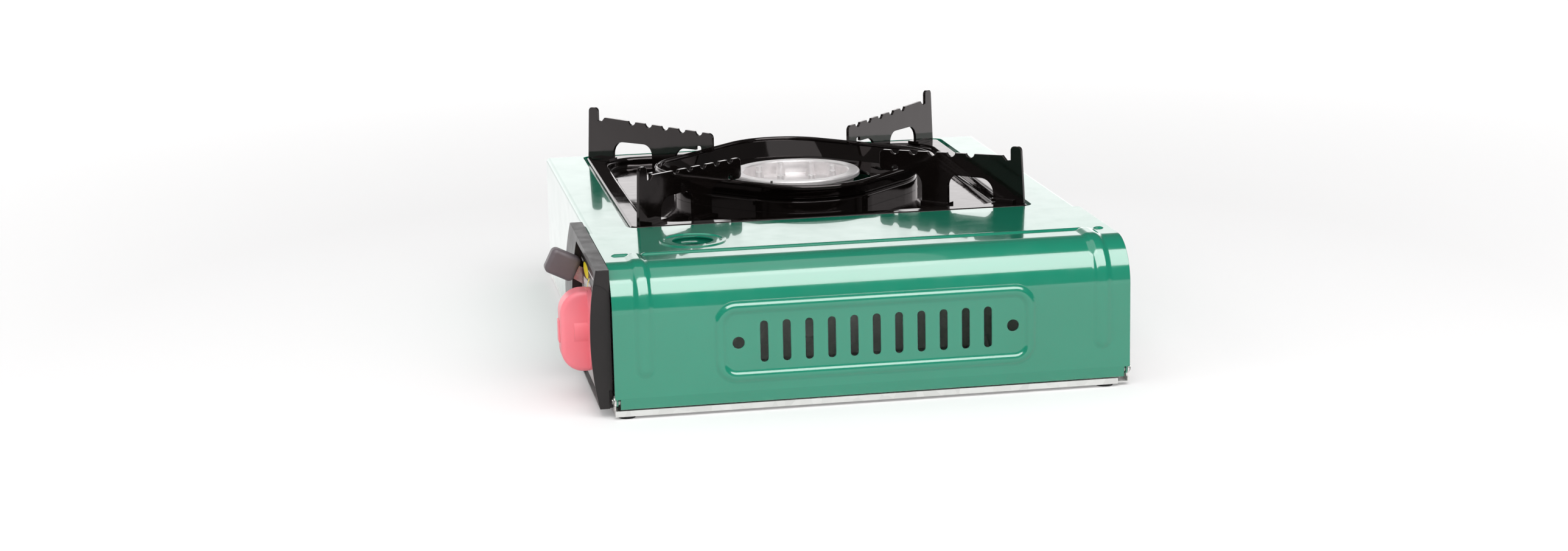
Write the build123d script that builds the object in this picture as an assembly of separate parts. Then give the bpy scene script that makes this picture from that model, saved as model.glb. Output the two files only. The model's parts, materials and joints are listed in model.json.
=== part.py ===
from build123d import *
import math
import os

os.makedirs("parts", exist_ok=True)

# Portable single-burner butane stove, millimetres.
# X runs to the right as seen from the control panel, Y runs to the back, Z is up.
# The origin is on the table, under the middle of the pressed steel body.

# ---- body ------------------------------------------------------------------------------------
body_width = 345.0
body_depth = 275.0
half_width = body_width / 2
half_depth = body_depth / 2
body_top = 77.5            # top plate above the table
foot_height = 1.5
foot_radius = 4.5
foot_inset_x = 5.5         # foot centre from the side faces
foot_inset_front = 6.5
foot_inset_back = 12.5
air_slot_count = 6         # through the base tray, under the burner
air_slot_circle = 48.0
air_slot_length = 34.0
air_slot_width = 5.0
shell_sheet = 0.8
tray_sheet = 0.8
plate_sheet = 1.2          # brackets and end plates
slip = 0.2                 # gap between nested sheet parts
touch_gap = 0.05           # gap left between curved parts that carry each other
shell_corner = 2.5         # outer bend of the body shell
strip_height = 3.0         # base tray edge left showing under the shell and the cover
strip_end = 6.5            # the right-hand strip stops this far from the back
tray_wall_height = 12.0    # base tray wall inside the shell
shell_right_edge = half_width - 94.0     # where the top plate folds down beside the cartridge bay
shell_fold = 9.0
side_vent_count = 7
back_vent_count = 9

# ---- cartridge cover -------------------------------------------------------------------------
cover_free_edge = shell_right_edge - 4.0
cover_lift = 1.0           # cover top above the body's top plate
cover_shoulder = 23.0
cover_bottom = 5.0         # lower edge above the table
cover_lip = 6.0            # height of the lower edge that leans inwards
cover_lean = 1.0
cover_notch = 3.0          # corner cut-outs around the hinge ears, along Y
cover_notch_height = 5.6
hinge_inset = 4.0          # pin axis inside the cover's outer face
hinge_height = 9.0         # pin axis above the table
hinge_pin_radius = 1.5
hinge_head_radius = 2.6
hinge_head = 1.2
hinge_tab_radius = 3.0
hinge_tab_top = 17.0
hinge_room = 8.5           # cut-out in the bay's end plates around the hinge
ear_clearance = 0.3        # between the tray's ear and the cover's side
bead_height = 1.2          # ribs and raised frame
bead_root = 0.03           # their sections start this far under the surface
rib_width = 11.7
rib_crest = 2.6            # flat top across the rib
rib_inset = 9.9            # outer side of the end ribs from the cover's ends
rib_shift = 0.65           # both ribs, along Y
rib_bottom = 20.5
top_bead_height = 0.9
top_bead_width = 4.6
top_bead_inset = 38.0      # long top bead from the cover's outer face
top_bead_start = 20.5      # from the cover's front end
top_bead_stop = 14.0       # from the cover's rear end
end_bead_front = (4.5, 14.5)             # short beads, from the cover's ends
end_bead_rear = (3.5, 9.5)
vent_panel_length = 172.8  # over the raised frame
vent_panel_height = 44.4
vent_panel_z = 37.0
vent_panel_corner = 12.5
vent_frame_width = 7.8
vent_frame_crest = 0.4     # flat top across the frame
vent_panel_shift = 0.6     # panel centre along Y
slot_count = 11
slot_pitch = 11.9
slot_width = 4.2
slot_length = 22.0
vent_hole_radius = 3.15
vent_hole_beyond = 13.5    # round hole centre beyond the last slot
finger_hole_radius = 11.0
finger_ring_radius = 18.0
finger_ring_drop = 3.5
finger_hole_x = half_width - 66.0
finger_hole_y = -half_depth + 52.0

# ---- gas axis and cartridge bay --------------------------------------------------------------
gas_x = half_width - 48.0  # regulator, knob and cartridge share this axis
gas_z = 38.0
stop_plate_y = -half_depth + 63.5
stop_plate_top = 62.0
stop_plate_width = 54.0
cartridge_radius = 33.5
cartridge_clearance = 0.4
bay_front_inset = 1.2      # end plates set back from the body's faces
saddle_width = 52.0
saddle_height = 12.5
saddle_front_y = stop_plate_y + 34.0
saddle_rear_y = stop_plate_y + 152.0
saddle_foot = 9.0
divider_boss_radius = 5.5  # round pressing on the divider
divider_boss_y = -18.0
divider_boss_z = 19.0

# ---- burner and pan --------------------------------------------------------------------------
pan_margin = 5.5           # pan's edge from the body's left face
pan_right_gap = 19.5       # pan's edge from the top plate's right edge
pan_size = half_width + shell_right_edge - pan_margin - pan_right_gap
burner_x = -half_width + pan_margin + pan_size / 2
burner_y = 0.0
pan_corner = 4.0
pan_gap = 2.0              # gap between the pan's edge and the opening in the top plate
pan_sheet = 1.0
pan_rim = 3.0              # folded rim under the pan's edge
pan_border = 10.5
pan_edge_radius = 1.6      # outer edge and the raised centre's edge
pan_bend_radius = 2.2      # around the recess
recess_depth = 6.0
recess_corner = 21.0
plateau_flat = 131.0       # raised centre, across its flats
plateau_corner = 48.0
plateau_rise = 1.5         # raised centre above the pan's border
burner_hole_radius = 44.5
vent_count = 12
vent_circle = 55.0
vent_length = 14.0
vent_width = 4.5
ring_flat = 140.6          # windshield rim, across its flats
ring_corner = 39.6
ring_rise = 12.2           # windshield rim above the pan's border
ring_sheet = 1.0
ring_bead = 1.5            # radius of the rolled rim
head_radius = 38.0
head_rim = 6.8             # flat rim width
head_height = 8.5          # rim above the cup's rim
head_rise = 6.0            # burner rim above the pan's border
dish_depth = 7.2
post_count = 8
post_circle = 23.5
post_height = 8.0
post_top_radius = 1.9
post_base_radius = 3.0
post_bore = 0.8
post_start = 12.5          # degrees

# ---- pot supports ----------------------------------------------------------------------------
arm_sheet = 1.8
arm_inner = 59.0           # radii from the burner axis
arm_edge_gap = 3.0         # supports' outer ends from the pan's edges
arm_outer = (pan_size / 2 - arm_edge_gap) * math.sqrt(2)
arm_post_lean = 1.8
arm_post_width = 6.6
arm_post_height = 32.5     # heights above the pan's border
arm_top_outer = 26.8
arm_top_inner = 23.2
arm_first_notch = arm_outer - 35.1
arm_notch_pitch = 12.8
arm_notch_room = 8.0       # between the tip and the last notch
arm_notch_count = int((arm_first_notch - arm_inner - arm_notch_room) / arm_notch_pitch) + 1
arm_notch_width = 6.0
arm_notch_depth = 2.3
arm_tip_bottom = 11.3
arm_under = 12.4           # underside of the bridge above the pan's border
arm_hook_depth = 2.6
arm_inner_leg = (88.0, 105.5)
arm_outer_leg = arm_outer - 20.0
arm_window_corner = min(8.0, (arm_outer_leg - arm_inner_leg[1]) / 2.5)
arm_flange = 6.0

# ---- control panel ---------------------------------------------------------------------------
housing_left = shell_right_edge - 38.0
housing_right = half_width - 5.0
housing_bottom = 4.8
housing_top = 78.4
housing_wall = 2.6
housing_lip = 1.3          # wall under the recessed face
hinge_head_room = 0.8      # around the hinge pin's head, in the housing's corner
housing_back_gap = 0.3
housing_edge_depth = 7.2   # depth at the top and bottom edges, from the body's front face
housing_bulge = 3.8        # extra depth at mid height
brow_height = 7.5          # thick brow above the cheeks' hollowed sides
cheek_hollow = 0.7         # depth of that hollow
cheek_drop = 9.5           # its upper edge falls this far towards the back
housing_edge_round = 0.9
face_depth = 4.8           # recessed face, from the body's front face
face_wall = 1.6
face_plate_sheet = 0.5
knob_radius = 22.0
knob_skirt = 2.6
knob_depth = 17.0
knob_gap = 0.5             # between the face plate and the knob's skirt
knob_bar_width = 15.0
knob_bar_corner = 12.0
pointer_length = 12.0      # raised pointer on the grip bar's front
pointer_width = 6.0
pointer_rise = 0.9
spindle_radius = 3.0
spindle_fit = 0.04

# ---- lock lever and cartridge push bar -------------------------------------------------------
lever_x = shell_right_edge + 5.5
lever_sheet = 2.0
lever_slot = 3.2           # half the width of the slots that the lever passes
lever_pivot_y = -half_depth + 25.5
lever_pivot_z = 30.0
lever_hub_radius = 6.0
lever_link_radius = 20.0
lever_half_swing = 12.5    # degrees either side of the link's upright position
lever_pin_radius = 2.0
link_pin_radius = 1.5
grip_root_y = -half_depth - 8.7
grip_root_z = body_top - 16.5
grip_length = 17.0
grip_height = 14.0
grip_width = 9.5
grip_room = 0.8            # beside the grip, in the housing's bowed front
grip_rise = 26.5           # degrees
bar_x = shell_right_edge + 1.5
bar_sheet = 1.2
bar_height = 9.0
bar_guide_y = (-62.0, 62.0)
bar_guide_length = 12.0
push_plate_y = stop_plate_y + 186.0
push_plate_right = gas_x + 21.5
push_plate_bottom = gas_z - 16.0
push_plate_top = gas_z + 18.0
bar_front_y = lever_pivot_y - 4.0
bar_rear_y = push_plate_y + 6.0

# ---- regulator, igniter and gas line ---------------------------------------------------------
regulator_y = -half_depth + 33.5
chamber_radius = 19.0
chamber_bottom = gas_z - 11.0
chamber_top = gas_z + 10.5
cap_flange = 2.0
cap_height = 12.0
valve_radius = 10.0
valve_front_y = -half_depth + 10.0
valve_rear_y = stop_plate_y - 6.0
standoff_radius = 3.0
standoff_offset = 13.0
inlet_radius = 12.0
nozzle_radius = 3.5
nozzle_reach = 4.0
seal_radius = 6.5
cam_y = -half_depth + 6.3
cam_thickness = 4.0
cam_low_radius = 8.5
cam_lift = 4.0
knob_turn = 150.0          # degrees
plunger_radius = 2.5
plunger_gap = 0.3
igniter_left = gas_x + 17.0
igniter_right = gas_x + 40.5
igniter_depth = 7.0
igniter_height = 15.0
pipe_radius = 3.0
jet_radius = 5.0
jet_length = 12.0
jet_setback = 9.5          # jet's tip from the divider, along the gas line
mouth_setback = 11.0       # mixing tube's mouth from the jet's tip
tube_wall = 2.0
tube_mouth_radius = 12.0
tube_throat_radius = 6.5
tube_outlet_radius = 8.5
neck_radius = 15.0
neck_bottom = gas_z - 13.0
neck_top = 50.0
cup_radius = 33.0
cup_floor = 66.0           # outside, where the cup's wall starts
electrode_radius = 2.5
electrode_circle = 41.2
electrode_angle = -30.0
electrode_bottom = body_top - 27.5
electrode_wire = 0.75
wire_radius = 1.1          # ignition wire
wire_height = 5.6          # its run over the tray's floor, above the table
wire_hole_radius = 2.6     # in the divider
wire_hole_y = -93.0
wire_hole_z = 9.5

# ---- derived ---------------------------------------------------------------------------------
tray_bottom = foot_height
tray_floor = tray_bottom + tray_sheet
strip_top = tray_bottom + strip_height
cover_top = body_top + cover_lift
hinge_x = half_width - hinge_inset
bay_plate_y = half_depth - bay_front_inset - plate_sheet / 2
recess_z = body_top - recess_depth
plateau_z = body_top + plateau_rise
head_top = body_top + head_rise
face_front_y = -half_depth - face_depth
plate_front_y = face_front_y - face_plate_sheet
face_left = lever_x - grip_width / 2 - grip_room
divider_x = shell_right_edge - shell_sheet - slip - plate_sheet / 2
line_angle = math.degrees(math.atan2(regulator_y - burner_y, gas_x - burner_x))
line_length = math.hypot(regulator_y - burner_y, gas_x - burner_x)
jet_distance = (divider_x - burner_x) / math.cos(math.radians(line_angle)) - jet_setback
mouth_distance = jet_distance - mouth_setback


def block(x0, x1, y0, y1, z0, z1):
    """A box between two corners."""
    return Pos((x0 + x1) / 2, (y0 + y1) / 2, (z0 + z1) / 2) * Box(x1 - x0, y1 - y0, z1 - z0)


def upright(radius, x, y, z0, z1):
    """A cylinder along Z."""
    return Pos(x, y, (z0 + z1) / 2) * Cylinder(radius, z1 - z0)


def along_y(radius, x, z, y0, y1):
    """A cylinder along Y."""
    return Pos(x, (y0 + y1) / 2, z) * Rot(90, 0, 0) * Cylinder(radius, y1 - y0)


def along_x(radius, y, z, x0, x1):
    """A cylinder along X."""
    return Pos((x0 + x1) / 2, y, z) * Rot(0, 90, 0) * Cylinder(radius, x1 - x0)


def on_side(sketch, x, y, z, depth):
    """A cut or pad through a wall that faces X, from an outline drawn in Y and Z about its centre."""
    return Pos(x, y, z) * extrude(Plane.YZ * sketch, depth, both=True)


def on_back(sketch, x, y, z, depth):
    """The same through a wall that faces Y, from an outline drawn in X and Z."""
    return Pos(x, y, z) * extrude(Plane.XZ * sketch, depth, both=True)


def save(name, *shapes):
    """Writes one sub-part: one solid, or a group of equal separate solids."""
    solids = [solid for shape in shapes for solid in shape.solids()]
    whole = solids[0] if len(solids) == 1 else Compound(children=solids)
    export_step(whole, f"parts/{name}.step")


def plan_slab(sketch, z0, z1):
    """A flat plan outline, extruded between two heights."""
    return Pos(0, 0, z0) * extrude(sketch, z1 - z0)


def side_slab(sketch, y0, y1):
    """An outline drawn in X and Z, extruded between two depths."""
    return extrude(Plane.XZ.offset(-y0) * sketch, -(y1 - y0))


# ---- base ------------------------------------------------------------------------------------
def make_base_tray():
    """Shallow galvanised tray with a joggled wall inside the shell and air slots under the burner."""
    outer = block(-half_width, half_width, -half_depth, half_depth, tray_bottom, strip_top)
    inner = block(-half_width + tray_sheet, half_width - tray_sheet,
                  -half_depth + tray_sheet, half_depth - tray_sheet, tray_floor, strip_top)
    joggle = shell_sheet + slip
    wall_right = divider_x
    wall = block(-half_width + joggle, wall_right, -half_depth + joggle, half_depth - joggle,
                 tray_bottom, tray_wall_height)
    wall = fillet(wall.edges().filter_by(Axis.Z).group_by(Axis.X)[0], shell_corner)
    wall -= block(-half_width + joggle + tray_sheet, wall_right + 1,
                  -half_depth + joggle + tray_sheet, half_depth - joggle - tray_sheet,
                  tray_floor, tray_wall_height)
    tray = outer - inner + wall
    # the rear right corner is cut away
    tray -= block(half_width - 2 * tray_sheet, half_width + 1, half_depth - strip_end, half_depth + 1,
                  tray_bottom - 1, strip_top + 1)
    slot = Rot(0, 0, 90) * SlotOverall(air_slot_length, air_slot_width)
    for i in range(air_slot_count):
        place = Pos(burner_x, burner_y, tray_bottom) * Rot(0, 0, 360 / air_slot_count * i)
        tray -= place * Pos(air_slot_circle, 0, 0) * extrude(slot, 2 * tray_sheet, both=True)
    for side in (-1, 1):
        tray += hinge_ear(side)
    return tray


def hinge_ear(side):
    """Ear that stands up from the tray's front or back edge, with the pin's hole."""
    ear_radius = hinge_inset - shell_sheet - ear_clearance
    foot_z = strip_top - 1
    outline = Pos(hinge_x, hinge_height) * Circle(ear_radius)
    # the stem stands clear of the open cover
    outline += make_face(Polyline((hinge_x - 2 * ear_radius, foot_z), (hinge_x - slip, foot_z),
                                  (hinge_x - slip, hinge_height), (hinge_x - ear_radius, hinge_height), close=True))
    outline -= Pos(hinge_x, hinge_height) * Circle(hinge_pin_radius + spindle_fit)
    y0, y1 = sorted((side * half_depth, side * (half_depth - tray_sheet)))
    return side_slab(outline, y0, y1)


def make_feet():
    """Four rubber discs under the tray."""
    x = half_width - foot_inset_x
    front = -half_depth + foot_inset_front
    back = half_depth - foot_inset_back
    return [upright(foot_radius, side * x, y, 0, foot_height) for side in (-1, 1) for y in (front, back)]


def make_body_shell():
    """Top plate with the pan's opening, and the front, left and back walls."""
    bottom = strip_top
    height = body_top - bottom
    depth = body_depth
    width = shell_right_edge + half_width
    centre_x = (shell_right_edge - half_width) / 2
    outer = Pos(centre_x, 0, bottom + height / 2) * Box(width, depth, height)
    left_edges = outer.edges().filter_by(Axis.Z).sort_by(Axis.X)[:2]
    top_edges = outer.edges().group_by(Axis.Z)[-1]
    outer = fillet(left_edges + top_edges, shell_corner)
    inner_width = width - 2 * shell_sheet
    inner_depth = depth - 2 * shell_sheet
    inner_height = height - shell_sheet + 5
    inner = Pos(centre_x, 0, bottom - 5 + inner_height / 2) * Box(inner_width, inner_depth, inner_height)
    left_inner = inner.edges().filter_by(Axis.Z).sort_by(Axis.X)[:2]
    top_inner = inner.edges().group_by(Axis.Z)[-1]
    inner = fillet(left_inner + top_inner, shell_corner - shell_sheet)
    shell = outer - inner
    # the right side is open under the short fold
    shell -= block(shell_right_edge - shell_sheet - 0.5, shell_right_edge + 1,
                   -half_depth + shell_sheet, half_depth - shell_sheet, 0, body_top - shell_fold)
    # opening for the pan, with a ledge under the pan's folded rim
    opening = pan_size + 2 * pan_gap
    ledge = pan_size - 2 * 5
    plan = Pos(burner_x, burner_y) * RectangleRounded(opening, opening, pan_corner + pan_gap)
    shell -= plan_slab(plan, body_top - pan_rim, body_top + 1)
    seat = Pos(burner_x, burner_y) * RectangleRounded(opening + 2 * shell_sheet, opening + 2 * shell_sheet,
                                                      pan_corner + pan_gap + shell_sheet)
    window = Pos(burner_x, burner_y) * RectangleRounded(ledge, ledge, pan_corner)
    rim_walls = plan_slab(seat - plan, body_top - pan_rim - shell_sheet, body_top - shell_sheet / 2)
    ledge_plate = plan_slab(seat - window, body_top - pan_rim - shell_sheet, body_top - pan_rim)
    shell += rim_walls
    shell += ledge_plate
    shell -= plan_slab(window, body_top - pan_rim - 5, body_top + 1)
    shell -= wall_vents()
    return shell


def wall_vents():
    """Air slots through the left and back walls."""
    vents = []
    slot = Rot(0, 0, 90) * SlotOverall(slot_length, slot_width)
    for i in range(side_vent_count):
        y = (i - (side_vent_count - 1) / 2) * slot_pitch
        vents.append(on_side(slot, -half_width, y, vent_panel_z, 4))
    for i in range(back_vent_count):
        x = burner_x + (i - (back_vent_count - 1) / 2) * slot_pitch
        vents.append(on_back(slot, x, half_depth, vent_panel_z, 4))
    return vents


def make_divider():
    """Sheet wall between the burner chamber and the cartridge bay."""
    x0 = divider_x - plate_sheet / 2
    x1 = divider_x + plate_sheet / 2
    y = half_depth - shell_sheet - slip - tray_sheet - slip
    z1 = body_top - shell_sheet - slip
    profile = Pos((x0 + x1) / 2, (tray_floor + z1) / 2) * Rectangle(plate_sheet, z1 - tray_floor)
    profile += Pos(x0 - 4, tray_floor + plate_sheet / 2) * Rectangle(10, plate_sheet)
    profile += Pos(x0 - 4, z1 - plate_sheet / 2) * Rectangle(10, plate_sheet)
    bends = profile.vertices().group_by(Axis.X)[-1]
    plate = side_slab(fillet(bends, shell_corner - shell_sheet - slip / 2), -y, y)
    plate -= gas_line(10.5 / 2, line_length - 110, line_length - 20)
    plate -= along_x(lever_pin_radius + spindle_fit, lever_pivot_y, lever_pivot_z, x0 - 1, x1 + 1)
    plate -= along_x(wire_hole_radius, wire_hole_y, wire_hole_z, x0 - 1, x1 + 1)
    for i in range(6):
        plate -= along_x(4.0, -10 + 22 * i, 62, x0 - 1, x1 + 1)
    boss = along_x(divider_boss_radius, divider_boss_y, divider_boss_z, x1, x1 + plate_sheet)
    plate += chamfer(boss.faces().sort_by(Axis.X)[-1].edges(), plate_sheet / 2)
    return plate


def bay_outline(margin):
    """Outline of a bay end plate in X and Z, inside the cover by the margin."""
    x0 = shell_right_edge + slip
    x1 = half_width - shell_sheet - margin
    z1 = cover_top - shell_sheet - margin
    radius = cover_shoulder - shell_sheet - margin
    outline = Pos((x0 + x1) / 2, (tray_floor + z1) / 2) * Rectangle(x1 - x0, z1 - tray_floor)
    top_right = outline.vertices().sort_by(lambda v: v.X + v.Y)[-1]
    outline = fillet(top_right, radius)
    # clears the cover's hinge tab
    outline -= Pos(hinge_x, hinge_height) * Circle(hinge_room)
    outline -= Pos(x1, tray_floor) * Rectangle(2 * hinge_room + 4, 2 * (hinge_height - tray_floor))
    return outline


def make_bay_front_plate():
    """Steel plate behind the control housing; it carries the regulator and the igniter."""
    y0 = -bay_plate_y - plate_sheet / 2
    y1 = -bay_plate_y + plate_sheet / 2
    plate = side_slab(bay_outline(1.2), y0, y1)
    plate += block(shell_right_edge + 2, hinge_x - 20, y1, y1 + 9, tray_floor, tray_floor + plate_sheet)
    plate -= along_y(spindle_radius + 1.5, gas_x, gas_z, y0 - 1, y1 + 1)
    plate -= block(lever_x - lever_slot, lever_x + lever_slot, y0 - 1, y1 + 1, 30, 60)
    for x, z in housing_screw_places():
        plate -= along_y(1.6, x, z, y0 - 1, y1 + 1)
    for x, z in standoff_places():
        plate -= along_y(1.6, x, z, y0 - 1, y1 + 1)
    return plate


def make_bay_rear_plate():
    """Steel plate that closes the back of the cartridge bay."""
    y0 = bay_plate_y - plate_sheet / 2
    y1 = bay_plate_y + plate_sheet / 2
    plate = side_slab(bay_outline(1.2), y0, y1)
    plate += block(shell_right_edge + 2, hinge_x - 20, y0 - 9, y0, tray_floor, tray_floor + plate_sheet)
    for i in range(5):
        x = gas_x + (i - 2) * slot_pitch
        plate -= on_back(Rot(0, 0, 90) * SlotOverall(slot_length, slot_width), x, bay_plate_y, gas_z, 3)
    return plate


def housing_screw_places():
    return [(gas_x - 31, 16.0), (gas_x + 31, 66.0)]


def standoff_places():
    return [(gas_x - standoff_offset, gas_z - standoff_offset), (gas_x - standoff_offset, gas_z + standoff_offset)]


def make_saddle(y):
    """Cradle that carries the cartridge on an arc."""
    z1 = tray_floor + saddle_height
    outline = Pos(gas_x, (tray_floor + z1) / 2) * Rectangle(saddle_width, saddle_height)
    outline = fillet(outline.vertices().group_by(Axis.Y)[-1], 2)
    outline -= Pos(gas_x, gas_z) * Circle(cartridge_radius + cartridge_clearance)
    saddle = side_slab(outline, y - plate_sheet / 2, y + plate_sheet / 2)
    saddle += block(gas_x - saddle_width / 2, gas_x + saddle_width / 2, y + plate_sheet / 2,
                    y + plate_sheet / 2 + saddle_foot, tray_floor, tray_floor + plate_sheet)
    return saddle


# ---- cartridge cover -------------------------------------------------------------------------
def cover_profile(offset):
    """Outer line of the cover in X and Z, moved inwards by the offset, as a filled face."""
    x1 = half_width - offset
    z1 = cover_top - offset
    radius = cover_shoulder - offset
    lean = cover_lean
    far = cover_free_edge - (5 if offset else 0)
    low = cover_bottom - (5 * cover_lean / cover_lip if offset else 0)
    bottom_z = cover_bottom - (5 if offset else 0)
    bottom_x = x1 - lean - (5 * lean / cover_lip if offset else 0)
    with BuildSketch() as sketch:
        with BuildLine():
            Line((far, z1), (x1 - radius, z1))
            RadiusArc((x1 - radius, z1), (x1, z1 - radius), radius)
            Line((x1, z1 - radius), (x1, cover_bottom + cover_lip))
            Line((x1, cover_bottom + cover_lip), (bottom_x, bottom_z))
            Line((bottom_x, bottom_z), (far, bottom_z))
            Line((far, bottom_z), (far, z1))
        make_face()
    return sketch.sketch


def make_cover():
    """Hinged cover of the cartridge bay, with its beads, vents, finger hole and hinge tabs."""
    skin = cover_profile(0) - cover_profile(shell_sheet)
    cover = side_slab(skin, -half_depth, half_depth)
    cover += end_ribs()
    cover += top_beads()
    cover += vent_panel_bead()
    cover -= vent_cuts()
    for side in (-1, 1):
        y0, y1 = sorted((side * (half_depth - cover_notch), side * (half_depth + 1)))
        cover -= block(half_width - 3, half_width + 3, y0, y1, cover_bottom - 1, cover_bottom + cover_notch_height)
        cover += hinge_tab(side)
    cover += finger_ring()
    cover -= upright(finger_hole_radius, finger_hole_x, finger_hole_y, cover_top - 10, cover_top + 2)
    return cover


def bead_section(width, crest):
    """Section of a pressed bead, X across and Y outwards: flanks that curve into a flat crest."""
    half = width / 2
    flank = (width - crest) / 2
    rise = bead_height + bead_root
    radius = (flank * flank + rise * rise) / (4 * rise)
    turn = math.asin(flank / 2 / radius) / 2
    across = radius * math.sin(turn)
    climb = radius * (1 - math.cos(turn))
    knee = (half - flank / 2, rise / 2 - bead_root)
    with BuildSketch() as section:
        with BuildLine():
            Line((-half, -shell_sheet / 2), (half, -shell_sheet / 2))
            for side in (1, -1):
                foot = (side * half, -bead_root)
                middle = (side * knee[0], knee[1])
                top = (side * crest / 2, bead_height)
                Line((side * half, -shell_sheet / 2), foot)
                ThreePointArc(foot, (side * (half - across), climb - bead_root), middle)
                ThreePointArc(middle, (side * (crest / 2 + across), bead_height - climb), top)
            Line((-crest / 2, bead_height), (crest / 2, bead_height))
        make_face()
    return section.sketch


def end_ribs():
    """Raised ribs with rounded ends that run down the side and over the shoulder near both ends."""
    section = bead_section(rib_width, rib_crest)
    half_section = section & (Pos(rib_width / 2, 0) * Rectangle(rib_width, 10 * bead_height))
    end = revolve(half_section, Axis.Y, 180)
    low_z = rib_bottom + rib_width / 2
    high_x = half_width - top_bead_inset - top_bead_width / 2 + rib_width / 2
    arc_x = half_width - cover_shoulder
    arc_z = cover_top - cover_shoulder
    arc_middle = cover_shoulder * math.sqrt(0.5)
    ribs = Part()
    for side in (-1, 1):
        y = side * (half_depth - rib_inset - rib_width / 2) + rib_shift
        with BuildLine(Plane.XZ.offset(-y)) as path:
            Line((half_width, low_z), (half_width, arc_z))
            ThreePointArc((half_width, arc_z), (arc_x + arc_middle, arc_z + arc_middle), (arc_x, cover_top))
            Line((arc_x, cover_top), (high_x, cover_top))
        low = Plane(origin=(half_width, y, low_z), x_dir=(0, -1, 0), z_dir=(0, 0, 1))
        high = Plane(origin=(high_x, y, cover_top), x_dir=(0, -1, 0), z_dir=(-1, 0, 0))
        ribs += sweep(low * section, path.line)
        ribs += low.location * end
        ribs += high.location * Rot(0, 180, 0) * end
    return ribs


def crest_radius(width):
    """Radius of the rounded section of the top beads."""
    return (width * width / 4 + top_bead_height * top_bead_height) / (2 * top_bead_height)


def top_beads():
    """Long bead along the top of the shoulder, with a short one at each end."""
    x = half_width - top_bead_inset
    beads = bead_along_y(x, -half_depth + top_bead_start, half_depth - top_bead_stop)
    near, far = end_bead_front
    beads += bead_along_y(x, -half_depth + near, -half_depth + far)
    near, far = end_bead_rear
    beads += bead_along_y(x, half_depth - far, half_depth - near)
    return beads


def bead_along_y(x, y0, y1):
    """Low bead with a rounded section and rounded ends on the cover's top."""
    radius = crest_radius(top_bead_width)
    section = Pos(0, top_bead_height - radius) * Circle(radius)
    section &= Pos(0, radius - shell_sheet / 2) * Rectangle(2 * radius, 2 * radius)
    end = revolve(section & (Pos(radius, 0) * Rectangle(2 * radius, 4 * radius)), Axis.Y, 180)
    y_near = y0 + top_bead_width / 2
    y_far = y1 - top_bead_width / 2
    bead = side_slab(Pos(x, cover_top) * section, y_near, y_far)
    bead += Plane(origin=(x, y_far, cover_top), x_dir=(1, 0, 0), z_dir=(0, -1, 0)).location * end
    bead += Plane(origin=(x, y_near, cover_top), x_dir=(-1, 0, 0), z_dir=(0, 1, 0)).location * end
    return bead


def vent_panel_bead():
    """Raised frame around the vent slots."""
    middle = RectangleRounded(vent_panel_length - vent_frame_width, vent_panel_height - vent_frame_width,
                              vent_panel_corner - vent_frame_width / 2)
    path = (Pos(half_width, vent_panel_shift, vent_panel_z) * (Plane.YZ * middle)).face().outer_wire()
    start = Plane(origin=path @ 0, x_dir=Vector(1, 0, 0).cross(path % 0), z_dir=path % 0)
    return sweep(start * bead_section(vent_frame_width, vent_frame_crest), path)


def vent_cuts():
    """Slots and the two round holes of the vent panel."""
    cuts = []
    slot = Rot(0, 0, 90) * SlotOverall(slot_length, slot_width)
    first = -(slot_count - 1) / 2 * slot_pitch
    for i in range(slot_count):
        y = vent_panel_shift + first + i * slot_pitch
        cuts.append(on_side(slot, half_width, y, vent_panel_z, 4))
    for side in (-1, 1):
        y = vent_panel_shift + side * (-first + vent_hole_beyond)
        cuts.append(along_x(vent_hole_radius, y, vent_panel_z, half_width - 4, half_width + 4))
    return cuts


def hinge_tab(side):
    """Tab folded in from the cover's side, with the hole that turns on the hinge pin."""
    y_near = half_depth - tray_sheet - slip
    x1 = half_width - shell_sheet / 2
    outline = Pos(hinge_x, hinge_height) * Circle(hinge_tab_radius)
    outline += make_face(Polyline((hinge_x, hinge_height - hinge_tab_radius), (x1, cover_bottom + cover_notch_height),
                                  (x1, hinge_tab_top), (hinge_x - hinge_tab_radius, hinge_height), close=True))
    outline -= Pos(hinge_x, hinge_height) * Circle(hinge_pin_radius + spindle_fit)
    y0, y1 = sorted((side * y_near, side * (y_near - shell_sheet)))
    return side_slab(outline, y0, y1)


def finger_ring():
    """Dished flange around the finger hole."""
    profile = [
        (finger_hole_radius - 1, cover_top - finger_ring_drop - shell_sheet),
        (finger_hole_radius + 2.0, cover_top - finger_ring_drop - shell_sheet),
        (finger_hole_radius + 4.0, cover_top - shell_sheet),
        (finger_ring_radius, cover_top - shell_sheet),
        (finger_ring_radius, cover_top + 0.6),
        (finger_ring_radius - 2.0, cover_top + 0.6),
        (finger_hole_radius + 3.4, cover_top - 0.6),
        (finger_hole_radius + 1.6, cover_top - finger_ring_drop),
        (finger_hole_radius - 1, cover_top - finger_ring_drop),
    ]
    face = make_face(Polyline([(x, 0, z) for x, z in profile], close=True))
    return Pos(finger_hole_x, finger_hole_y, 0) * revolve(face, Axis.Z)


def turned_y(points):
    """Solid of revolution that stands out towards -Y, from radius and height points."""
    face = make_face(Polyline([(r, -h, 0) for r, h in points], close=True))
    return revolve(face, Axis.Y)


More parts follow.
